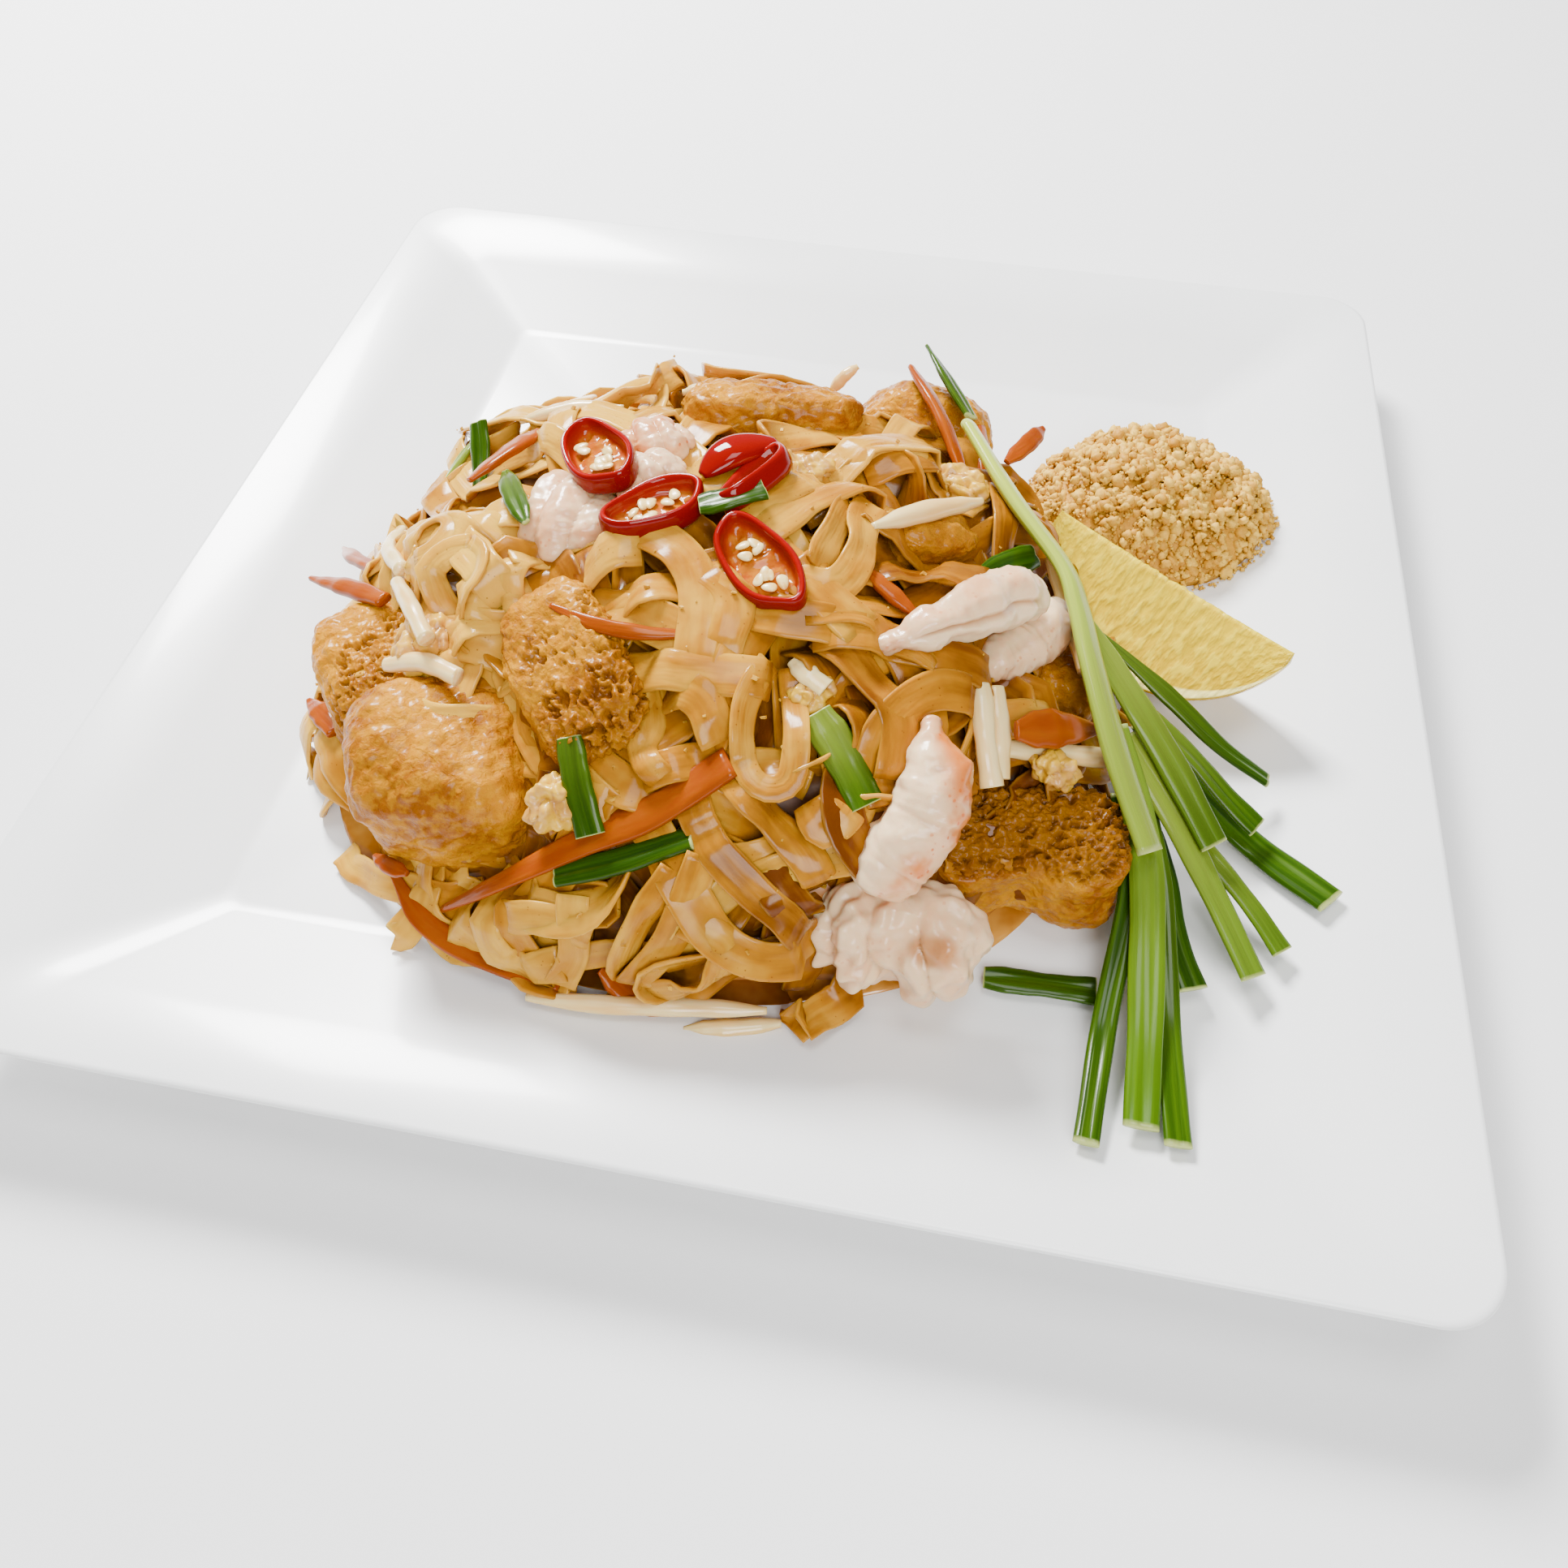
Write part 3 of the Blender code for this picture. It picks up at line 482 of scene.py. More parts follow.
def heap_frame(flat):
    """Places, both slopes of the map and the outward normal at points of the flat map."""
    step = 0.8
    right, ahead = np.array([step, 0.0]), np.array([0.0, step])
    along_x = (on_heap(flat + right) - on_heap(flat - right)) / (2 * step)
    along_y = (on_heap(flat + ahead) - on_heap(flat - ahead)) / (2 * step)
    return on_heap(flat), along_x, along_y, unit(np.cross(along_x, along_y))


# ---------------------------------------------------------------- materials


def add_node(tree, kind, settings=None, **sockets):
    """A node with its settings, and its sockets (spaces as _) set to values or linked to outputs."""
    node = tree.nodes.new(kind)
    for key, value in (settings or {}).items():
        setattr(node, key, value)
    for key, value in sockets.items():
        set_socket(tree, node.inputs[key.replace("_", " ")], value)
    return node


def set_socket(tree, socket, value):
    """Links an output to a socket, or sets its own value."""
    if isinstance(value, bpy.types.NodeSocket):
        tree.links.new(value, socket)
    elif isinstance(value, tuple) and len(value) == 3 and socket.type == "RGBA":
        socket.default_value = (*value, 1.0)
    else:
        socket.default_value = value


def mix(tree, share, first, second):
    """Two colours mixed by a share."""
    node = tree.nodes.new("ShaderNodeMix")
    node.data_type = "RGBA"
    for index, value in ((0, share), (6, first), (7, second)):
        set_socket(tree, node.inputs[index], value)
    return node.outputs[2]


def maths(tree, operation, first, second=0.0):
    """One arithmetic step."""
    node = tree.nodes.new("ShaderNodeMath")
    node.operation = operation
    set_socket(tree, node.inputs[0], first)
    set_socket(tree, node.inputs[1], second)
    return node.outputs[0]


def times(tree, first, second):
    """One value times another."""
    return maths(tree, "MULTIPLY", first, second)


def spread(tree, value, low, high, to_low=0.0, to_high=1.0):
    """A value's range stretched to another, smoothly and clamped."""
    node = tree.nodes.new("ShaderNodeMapRange")
    node.interpolation_type = "SMOOTHSTEP"
    for index, item in enumerate((value, low, high, to_low, to_high)):
        set_socket(tree, node.inputs[index], item)
    return node.outputs[0]


def shades(tree, value, stops):
    """A colour that runs through the given stops, each a place from 0 to 1 and its colour."""
    ramp = add_node(tree, "ShaderNodeValToRGB", Fac=value)
    elements = ramp.color_ramp.elements
    for element, (place, colour) in zip(elements, (stops[0], stops[-1])):
        element.position, element.color = place, (*colour, 1)
    for place, colour in stops[1:-1]:
        elements.new(place).color = (*colour, 1)
    return ramp.outputs[0]


def attribute(tree, name):
    """A value kept at the mesh's points."""
    return add_node(tree, "ShaderNodeAttribute", {"attribute_name": name}).outputs["Fac"]


def object_place(tree):
    """Object coordinates, in metres."""
    return tree.nodes.new("ShaderNodeTexCoord").outputs["Object"]


def noise(tree, scale, detail, **sockets):
    """Soft noise fixed to the piece, finer as the scale grows."""
    return add_node(tree, "ShaderNodeTexNoise", Vector=object_place(tree), Scale=scale, Detail=detail,
                    **sockets).outputs[0]


def new_group(name, **inputs):
    """An empty node group with number inputs and one mask: gives its tree, inputs and mask socket."""
    tree = bpy.data.node_groups.new(name, "ShaderNodeTree")
    for label, default in inputs.items():
        socket = tree.interface.new_socket(label, in_out="INPUT", socket_type="NodeSocketFloat")
        socket.default_value = default
    tree.interface.new_socket("Mask", in_out="OUTPUT", socket_type="NodeSocketFloat")
    given = tree.nodes.new("NodeGroupInput").outputs
    return tree, given, tree.nodes.new("NodeGroupOutput").inputs["Mask"]


def placed(tree, name, **sockets):
    """Places a node group in a tree and gives its mask."""
    node = tree.nodes.new("ShaderNodeGroup")
    node.node_tree = bpy.data.node_groups[name]
    for key, value in sockets.items():
        set_socket(tree, node.inputs[key], value)
    return node.outputs[0]


def patches_mask(tree, scale, low, high):
    """Soft patches: 0 where the noise is below low, 1 above high."""
    return placed(tree, "Patches", Scale=scale, Low=low, High=high)


def fibres_mask(tree, fineness, stretch):
    """Lines that run lengthwise along a strand."""
    return placed(tree, "Fibres", Across=attribute(tree, "across"), Along=attribute(tree, "along"),
                  Fineness=fineness, Stretch=stretch)


def make_groups():
    """The effects that several finishes share: soft patches, small flecks and lengthwise fibres."""
    tree, given, mask = new_group("Patches", Scale=100.0, Low=0.4, High=0.6)
    grain = noise(tree, given["Scale"], 3.0, Roughness=0.6)
    tree.links.new(spread(tree, grain, given["Low"], given["High"]), mask)

    tree, given, mask = new_group("Flecks", Scale=900.0, Size=0.2)
    cells = add_node(tree, "ShaderNodeTexVoronoi", Vector=object_place(tree), Scale=given["Scale"])
    near = spread(tree, cells.outputs["Distance"], given["Size"], times(tree, given["Size"], 0.5))
    wanted = spread(tree, noise(tree, 220.0, 1.0), 0.5, 0.58)
    tree.links.new(times(tree, near, wanted), mask)

    tree, given, mask = new_group("Fibres", Across=0.0, Along=0.0, Fineness=12.0, Stretch=0.05)
    place = add_node(tree, "ShaderNodeCombineXYZ", X=times(tree, given["Across"], given["Fineness"]),
                     Y=times(tree, given["Along"], given["Stretch"]), Z=attribute(tree, "seed"))
    lines = add_node(tree, "ShaderNodeTexNoise", Vector=place.outputs[0], Scale=1.0, Detail=2.0)
    tree.links.new(spread(tree, lines.outputs[0], 0.3, 0.7), mask)


# Each finish: roughness; the coat's weight and roughness; specular level and tint; and the light let
# through: weight, scale and reach of red, green and blue (metres).
FINISHES = {
    "glazed_white": (0.3, (0.3, 0.12), (), ()),
    "noodle": (0.3, (0.28, 0.14), (0.06, 1.0, 0.8, 0.5), (0.2, 0.6, 0.004, 0.0025, 0.001)),
    "sauce_core": (0.4, (), (), ()),
    "fried_tofu": (0.4, (0.22, 0.2), (0.06, 1.0, 0.75, 0.35), (0.15, 0.5, 0.004, 0.002, 0.0005)),
    "prawn_meat": (0.3, (0.3, 0.08), (0.3, 1.0, 1.0, 1.0), (0.4, 0.5, 0.008, 0.003, 0.002)),
    "chilli_red": (0.15, (0.4, 0.03), (0.03, 1.0, 0.3, 0.2), (0.1, 0.5, 0.004, 0.0005, 0.0003)),
    "chilli_seed": (0.35, (0.3, 0.03), (), ()),
    "chive_green": (0.3, (0.3, 0.15), (0.08, 0.8, 1.0, 0.4), (0.12, 0.5, 0.001, 0.003, 0.0005)),
    "carrot_orange": (0.32, (0.3, 0.15), (0.05, 1.0, 0.7, 0.3), (0.2, 0.5, 0.004, 0.001, 0.0003)),
    "sprout_white": (0.25, (0.4, 0.1), (), (0.4, 0.5, 0.006, 0.004, 0.002)),
    "cooked_egg": (0.4, (0.2, 0.03), (), (0.2, 0.5, 0.004, 0.003, 0.001)),
    "lemon_flesh": (0.25, (0.3, 0.08), (0.05, 1.0, 0.95, 0.4), (0.3, 0.5, 0.006, 0.005, 0.001)),
    "crushed_nut": (0.6, (), (0.3, 1.0, 1.0, 1.0), (0.15, 0.5, 0.003, 0.002, 0.001)),
    "tamarind_sauce": (0.08, (0.6, 0.03), (), ()),
    "pale_floor": (0.7, (), (), ()),
}


def new_finish(name):
    """A material with its shader set from the table: returns the material, its tree, the shader."""
    roughness, coat, shine, soft = FINISHES[name]
    values = {"Roughness": roughness}
    if coat:
        values.update({"Coat Weight": coat[0], "Coat Roughness": coat[1]})
    if shine:
        values.update({"Specular IOR Level": shine[0], "Specular Tint": (*shine[1:], 1.0)})
    if soft:
        values.update({"Subsurface Weight": soft[0], "Subsurface Scale": soft[1],
                       "Subsurface Radius": soft[2:]})
    made = bpy.data.materials.new(name)
    made.use_nodes = True
    shader = made.node_tree.nodes["Principled BSDF"]
    for label, value in values.items():
        shader.inputs[label].default_value = value
    return made, made.node_tree, shader


def paint(tree, shader, colour):
    """The shader's own colour."""
    tree.links.new(colour, shader.inputs["Base Color"])


def bump(tree, shader, height, strength, distance):
    """Small relief from a height."""
    node = add_node(tree, "ShaderNodeBump", Height=height, Strength=strength, Distance=distance)
    tree.links.new(node.outputs[0], shader.inputs["Normal"])


def glaze_finish():
    """White porcelain glaze with the faintest unevenness."""
    made, tree, shader = new_finish("glazed_white")
    patches = patches_mask(tree, 30.0, 0.3, 0.7)
    paint(tree, shader, mix(tree, patches, (0.85, 0.86, 0.86), (0.88, 0.885, 0.88)))
    bump(tree, shader, noise(tree, 45.0, 1.0), 0.05, 0.0004)
    return made


def noodle_finish(sizes):
    """Sauced rice noodle: tone from cream to caramel that also carries painted light and shade, paler
    edges, specks and a wet coat.
    """
    made, tree, shader = new_finish("noodle")
    fibres = fibres_mask(tree, 1.6, 0.06)
    patches = patches_mask(tree, 70.0, 0.35, 0.68)
    # The tone holds the sauce's own variation, painted light from the back left and painted shade deep
    # in the pile.
    tone = attribute(tree, "tone")
    for mask, effect in ((patches, 0.3), (fibres, 0.22)):
        tone = maths(tree, "ADD", tone, times(tree, maths(tree, "SUBTRACT", mask, 0.5), effect))
    colour = shades(tree, tone, ((0.0, sizes.noodle_pale), (0.5, sizes.noodle_middle),
                                 (1.0, sizes.noodle_dark)))
    edge = spread(tree, maths(tree, "ABSOLUTE", attribute(tree, "across")), 0.85, 1.0, 0.0, 0.2)
    colour = mix(tree, edge, colour, sizes.noodle_pale[:])
    flecks = placed(tree, "Flecks", Scale=750.0, Size=0.16)
    colour = mix(tree, times(tree, flecks, 0.75), colour, (0.16, 0.04, 0.003))
    paint(tree, shader, colour)
    set_socket(tree, shader.inputs["Roughness"], spread(tree, patches, 0.0, 1.0, 0.2, 0.38))
    bump(tree, shader, maths(tree, "ADD", fibres, noise(tree, 280.0, 2.0)), 0.4, 0.0005)
    return made


def core_finish():
    """Shaded noodle and sauce between the strands."""
    made, tree, shader = new_finish("sauce_core")
    patches = patches_mask(tree, 120.0, 0.35, 0.65)
    paint(tree, shader, mix(tree, patches, (0.2, 0.055, 0.002), (0.42, 0.15, 0.008)))
    return made


def tofu_finish(sizes):
    """Fried skin: golden and browner patches, fine lighter flecks that are painted glints, tan crumb
    where torn, pores darkened with painted shade, a toasted top, and painted shade on the pieces that
    lie in shade.
    """
    made, tree, shader = new_finish("fried_tofu")
    patches = patches_mask(tree, 55.0, 0.38, 0.66)
    fine = patches_mask(tree, 380.0, 0.42, 0.62)
    colour = mix(tree, patches, sizes.tofu_gold[:], sizes.tofu_brown[:])
    # Painted glints: the fine patches mixed a little lighter; the same patches also vary the roughness.
    colour = mix(tree, times(tree, fine, 0.3), colour, (0.66, 0.31, 0.0))
    colour = mix(tree, attribute(tree, "crumb"), colour, (0.28, 0.1, 0.0))
    # Painted shade: the pores of the crumb darkened.
    colour = mix(tree, times(tree, attribute(tree, "pit"), 0.75), colour, (0.12, 0.03, 0.002))
    # Browner where toasted on tofu_right, and painted shade over the whole of tofu_shaded and tofu_top.
    colour = mix(tree, attribute(tree, "toast"), colour, (0.12, 0.036, 0.0))
    paint(tree, shader, colour)
    set_socket(tree, shader.inputs["Roughness"], spread(tree, fine, 0.0, 1.0, 0.3, 0.55))
    bump(tree, shader, noise(tree, 650.0, 4.0, Distortion=0.8), 0.8, 0.0009)
    return made


def prawn_finish(sizes):
    """Cooked prawn: white flesh, a blush and orange flecks on the back, brown in the creases as painted
    shade, and a browner tail.
    """
    made, tree, shader = new_finish("prawn_meat")
    patches = patches_mask(tree, 95.0, 0.42, 0.66)
    blush = times(tree, spread(tree, patches, 0.0, 1.0, 0.35, 1.0), attribute(tree, "blush"))
    colour = mix(tree, blush, sizes.prawn_white[:], sizes.prawn_pink[:])
    flecks = times(tree, placed(tree, "Flecks", Scale=620.0, Size=0.3), attribute(tree, "blush"))
    colour = mix(tree, flecks, colour, (0.6, 0.12, 0.005))
    # Painted shade in the slit and in the grooves between rings and folds; the tail and one patch on
    # the opened prawn are browner as well.
    colour = mix(tree, attribute(tree, "crease"), colour, (0.42, 0.13, 0.01))
    paint(tree, shader, colour)
    bump(tree, shader, noise(tree, 420.0, 3.0), 0.35, 0.0006)
    return made


def chilli_finish(sizes):
    """Chilli: glossy red skin, paler cut wall, orange and cream inside."""
    made, tree, shader = new_finish("chilli_red")
    patches = patches_mask(tree, 260.0, 0.4, 0.6)
    inside = attribute(tree, "inside")
    colour = shades(tree, inside, ((0.2, sizes.chilli_skin), (0.42, (0.26, 0.001, 0.0)),
                                   (0.6, (0.24, 0.0, 0.0)), (0.8, (0.3, 0.02, 0.0)),
                                   (1.0, (0.36, 0.075, 0.0))))
    pale = times(tree, patches, spread(tree, inside, 0.7, 0.95, 0.0, 0.7))
    paint(tree, shader, mix(tree, pale, colour, (0.5, 0.17, 0.004)))
    set_socket(tree, shader.inputs["Roughness"], spread(tree, inside, 0.2, 0.6, 0.1, 0.3))
    bump(tree, shader, times(tree, noise(tree, 500.0, 2.0), inside), 0.4, 0.0006)
    return made


def seed_finish():
    """Cream chilli seeds."""
    made, tree, shader = new_finish("chilli_seed")
    patches = patches_mask(tree, 500.0, 0.35, 0.65)
    paint(tree, shader, mix(tree, patches, (0.8, 0.5, 0.12), (0.9, 0.72, 0.3)))
    return made


def green_finish(sizes):
    """Chive: pale to deep green along the strand, lighter lines lengthwise, pale cut ends."""
    made, tree, shader = new_finish("chive_green")
    lines = fibres_mask(tree, 7.0, 0.025)
    fresh = mix(tree, attribute(tree, "yellow"), sizes.green_deep[:], sizes.green_bright[:])
    colour = mix(tree, attribute(tree, "pale"), fresh, sizes.green_pale[:])
    colour = mix(tree, times(tree, lines, 0.35), colour, (0.07, 0.15, 0.001))
    dark = times(tree, maths(tree, "SUBTRACT", 1.0, lines), 0.3)
    colour = mix(tree, dark, colour, (0.004, 0.02, 0.0))
    colour = mix(tree, attribute(tree, "cut"), colour, (0.45, 0.5, 0.15))
    paint(tree, shader, colour)
    bump(tree, shader, lines, 0.35, 0.0004)
    return made


def carrot_finish(sizes):
    """Carrot: bright orange with lengthwise fibres."""
    made, tree, shader = new_finish("carrot_orange")
    lines = fibres_mask(tree, 3.0, 0.08)
    paint(tree, shader, mix(tree, lines, sizes.carrot_orange[:], (0.3, 0.06, 0.0)))
    bump(tree, shader, lines, 0.4, 0.0004)
    return made


def sprout_finish():
    """Bean sprout: moist, see-through white with faint lengthwise lines."""
    made, tree, shader = new_finish("sprout_white")
    lines = fibres_mask(tree, 2.5, 0.05)
    paint(tree, shader, mix(tree, lines, (0.78, 0.48, 0.14), (0.88, 0.68, 0.32)))
    bump(tree, shader, lines, 0.2, 0.0003)
    return made


def egg_finish(sizes):
    """Scrambled egg: tan to yellow, darkened in the folds with painted shade."""
    made, tree, shader = new_finish("cooked_egg")
    patches = patches_mask(tree, 180.0, 0.4, 0.62)
    colour = mix(tree, patches, (0.55, 0.27, 0.04), sizes.egg_yellow[:])
    # Painted shade in the folds.
    colour = mix(tree, attribute(tree, "crease"), colour, (0.35, 0.12, 0.01))
    paint(tree, shader, colour)
    return made


def lemon_finish(sizes):
    """Lemon: juicy flesh with pale streaks under a thin skin, white pith, waxy yellow rind."""
    made, tree, shader = new_finish("lemon_flesh")
    out, along = attribute(tree, "out"), attribute(tree, "along")
    fan = placed(tree, "Fibres", Across=along, Along=out, Fineness=0.55, Stretch=5.0)
    cream = times(tree, spread(tree, fan, 0.45, 0.9), 0.5)
    flesh = mix(tree, spread(tree, out, 0.0, 0.8), sizes.lemon_pale[:], sizes.lemon_yellow[:])
    flesh = mix(tree, cream, flesh, (0.8, 0.62, 0.03))
    colour = mix(tree, spread(tree, out, 0.86, 0.9), flesh, (0.88, 0.76, 0.25))
    colour = mix(tree, spread(tree, out, 0.975, 0.995), colour, (0.55, 0.32, 0.0))
    paint(tree, shader, colour)
    pores = add_node(tree, "ShaderNodeTexVoronoi", Vector=object_place(tree), Scale=700.0)
    rind = spread(tree, out, 0.98, 1.0)
    height = maths(tree, "ADD", times(tree, pores.outputs["Distance"], rind),
                   times(tree, fan, maths(tree, "SUBTRACT", 1.0, rind)))
    bump(tree, shader, height, 0.45, 0.0008)
    return made


def nut_finish(sizes):
    """Crushed peanut: each crumb its own beige, with fine darker patches."""
    made, tree, shader = new_finish("crushed_nut")
    fine = patches_mask(tree, 900.0, 0.35, 0.65)
    colour = mix(tree, attribute(tree, "tone"), sizes.nut_pale[:], sizes.nut_tan[:])
    colour = mix(tree, times(tree, fine, 0.3), colour, (0.36, 0.15, 0.003))
    paint(tree, shader, colour)
    bump(tree, shader, noise(tree, 1500.0, 2.0), 0.4, 0.0004)
    return made


def sauce_finish():
    """Thin orange-brown sauce pooled on the glaze."""
    made, tree, shader = new_finish("tamarind_sauce")
    patches = patches_mask(tree, 90.0, 0.35, 0.65)
    paint(tree, shader, mix(tree, patches, (0.6, 0.28, 0.04), (0.4, 0.14, 0.008)))
    return made


def floor_finish():
    """Plain pale floor."""
    made, tree, shader = new_finish("pale_floor")
    patches = patches_mask(tree, 3.0, 0.3, 0.7)
    paint(tree, shader, mix(tree, patches, (0.84, 0.84, 0.84), (0.86, 0.86, 0.86)))
    return made


# ---------------------------------------------------------------- plate


def square_ring(half, height, corner, steps=12):
    """A square with rounded corners: each side straight, each corner a quarter circle."""
    turns = np.linspace(0, math.pi / 2, steps)
    arc = np.stack([np.cos(turns), np.sin(turns)], 1) * corner + (half - corner)
    flats = np.linspace(0, 1, 9)[1:-1, None]
    side = np.concatenate([arc, arc[-1] * (1 - flats) + np.array([-arc[-1, 0], arc[-1, 1]]) * flats])
    rings = []
    for quarter in range(4):
        c, s = math.cos(quarter * math.pi / 2), math.sin(quarter * math.pi / 2)
        rings.append(side @ np.array([[c, s], [-s, c]]))
    flat = np.concatenate(rings)
    return np.column_stack([flat, np.full(len(flat), height)])


def make_plate():
    """The plate: rounded square rings from the middle of the well, over the rim, to inside the foot."""
    under = RIM_TOP - RIM_WALL
    base = WELL_FLOOR - RIM_WALL
    lip = [(PLATE_HALF - LIP_DEPTH + LIP_DEPTH * math.sin(a),
            RIM_TOP - LIP_DROP - LIP / 2 + LIP / 2 * math.cos(a), PLATE_CORNER - 0.5)
           for a in np.linspace(0.1, math.pi - 0.1, 9)]
    stations = [
        (2.0, WELL_FLOOR, 1.0), (50.0, WELL_FLOOR, 3.0), (WELL_HALF - 2.0, WELL_FLOOR, WELL_CORNER),
        (WELL_HALF - 0.5, WELL_FLOOR + 0.1, WELL_CORNER),
        (WELL_HALF + 1.0, WELL_FLOOR + 0.45, WELL_CORNER), (MID_RIM, plate_top(MID_RIM, 0), 9.0), *lip,
        (PLATE_HALF - 7, under - 1.2, PLATE_CORNER - 2), (WELL_HALF - 4, base - 0.1, WELL_CORNER + 4),
        (FOOT_HALF + 0.6, FOOT_HEIGHT, WELL_CORNER + 4), (FOOT_HALF, 0.8, WELL_CORNER + 4),
        (FOOT_HALF - 0.8, 0.0, WELL_CORNER + 4), (FOOT_HALF - FOOT_WIDTH, 0.0, WELL_CORNER + 4),
        (FOOT_HALF - FOOT_WIDTH - 0.8, FOOT_HEIGHT, WELL_CORNER + 4), (2.0, FOOT_HEIGHT, 1.0),
    ]
    rings = np.stack([square_ring(*station) for station in stations])
    rows, around = rings.shape[:2]
    made = single("plate_glazed", glaze_finish(), "glazed_white", ["plate"],
                  rings, tube_quads(rows, around)[:, ::-1])
    made.data.set_sharp_from_angle(angle=math.radians(50))


# ---------------------------------------------------------------- lumps


def lump_net(place, half, heading, tilt, squareness, lumpiness, cleft, seed, cuts):
    """A rounded box with the CAD lump's own dents: way * reach * half sizes, turned and moved.

    The reach is a superellipsoid's, times one plus a few slow sine waves, less a cleft in front.
    Also gives each point's way from the middle, before turning.
    """
    net, quads = cube_net(cuts)
    way = unit(np.tan(net * math.pi / 4 * 0.999))
    reach = (np.abs(way) ** squareness).sum(1) ** (-1 / squareness)
    draw = np.random.default_rng(seed)
    dent = np.zeros(len(way))
    for _ in range(DENTS):
        wave = draw.normal(size=3)
        wave *= DENT_PITCH / np.linalg.norm(wave)
        dent += np.sin(way @ wave + draw.uniform(0, 6.28)) / 2
    facing = np.clip(-way[:, 1], 0, 1) * np.exp(-((way[:, 0] / CLEFT_WIDTH) ** 2))
    reach *= (1 + lumpiness * dent) * (1 - cleft * facing)
    points = way * reach[:, None] * np.array(half)
    turn = turned(math.radians(heading), math.radians(tilt))
    lean = Vector((0, 0, 1)).rotation_difference(heap_normal(place[0], place[1])).to_matrix()
    level = place[2] < LEVEL_BELOW or half[2] > LEVEL_FROM
    spin = np.array(turn if level else lean @ turn)
    return points @ spin.T + np.array(place), quads, way


def make_tofu(sizes):
    """Fried tofu: rounded boxes with a wrinkled, pebbled skin, and open crumb on the torn sides."""
    finish = tofu_finish(sizes)
    for seed, (name, shape) in enumerate(TOFU.items(), 5):
        cuts = 84 if name in SPONGY else 52
        points, quads, way = lump_net(*shape, seed, cuts)
        normal = net_normals(points, quads)
        sponge = SPONGY.get(name, 0.0)
        torn = ease((way[:, 1] * -0.8 + way[:, 0] * 0.3 + way[:, 2] * 0.3 - 0.05) * 2.5) * sponge
        if name == "tofu_centre":
            torn = ease((normal[:, 0] * 0.75 - normal[:, 1] * 0.6 + 0.05) * 2.5) * sponge
        if name == "tofu_right":
            torn = ease((normal[:, 2] - 0.2) * 2.5) * sponge
        skin = 0.5 * waves(points, 13, seed + 20) + 0.35 * waves(points, 4.5, seed + 30)
        skin -= 0.28 * wrinkles(points, 7, seed + 40) ** 3
        skin += 0.16 * waves(points, 2.0, seed + 50)
        points = points + normal * (skin * (1 - 0.5 * torn))[:, None]
        hollow = 0.8 * waves(points, 5.5, seed + 60) + 0.8 * waves(points, 2.7, seed + 61)
        hollow += 0.5 * waves(points, 1.5, seed + 62)
        pit = ease((hollow - 0.25) * 1.3) * ease(torn * 2)
        crumb = (0.45 * waves(points, 1.5, seed + 70) + 0.5 * waves(points, 3.2, seed + 75)) * torn
        points = points + normal * (crumb - 1.3 * pit)[:, None]
        # Toasted top on tofu_right; on tofu_shaded and tofu_top the same darkening all over is painted
        # shade.
        toast = ease((normal[:, 2] - 0.35) * 2) * 0.6 if name == "tofu_right" else np.zeros(len(points))
        if name in ("tofu_shaded", "tofu_top"):
            toast = np.full(len(points), 0.3)
        single("piece_" + name, finish, "fried_tofu", [name],
               points, quads, pit=pit, crumb=torn * 0.5, toast=toast)


def make_egg(sizes):
    """Scrambled egg: small crumpled lumps with deep folds."""
    finish = egg_finish(sizes)
    for seed, (name, shape) in enumerate({**EGG, **EGG_BITS}.items(), 13):
        points, quads, _ = lump_net(*shape, seed, 24)
        normal = net_normals(points, quads)
        fold = wrinkles(points, 6.5, seed + 80) ** 3
        relief = 0.9 * waves(points, 4, seed) - 1.3 * fold + 0.2 * waves(points, 1.4, seed)
        points = points + normal * relief[:, None]
        # crease: painted shade in the deep folds.
        single("piece_" + name, finish, "cooked_egg", [name] if name in EGG else [],
               points, quads, crease=ease(fold * 1.6 - 0.5) * 0.8)


# ---------------------------------------------------------------- prawns


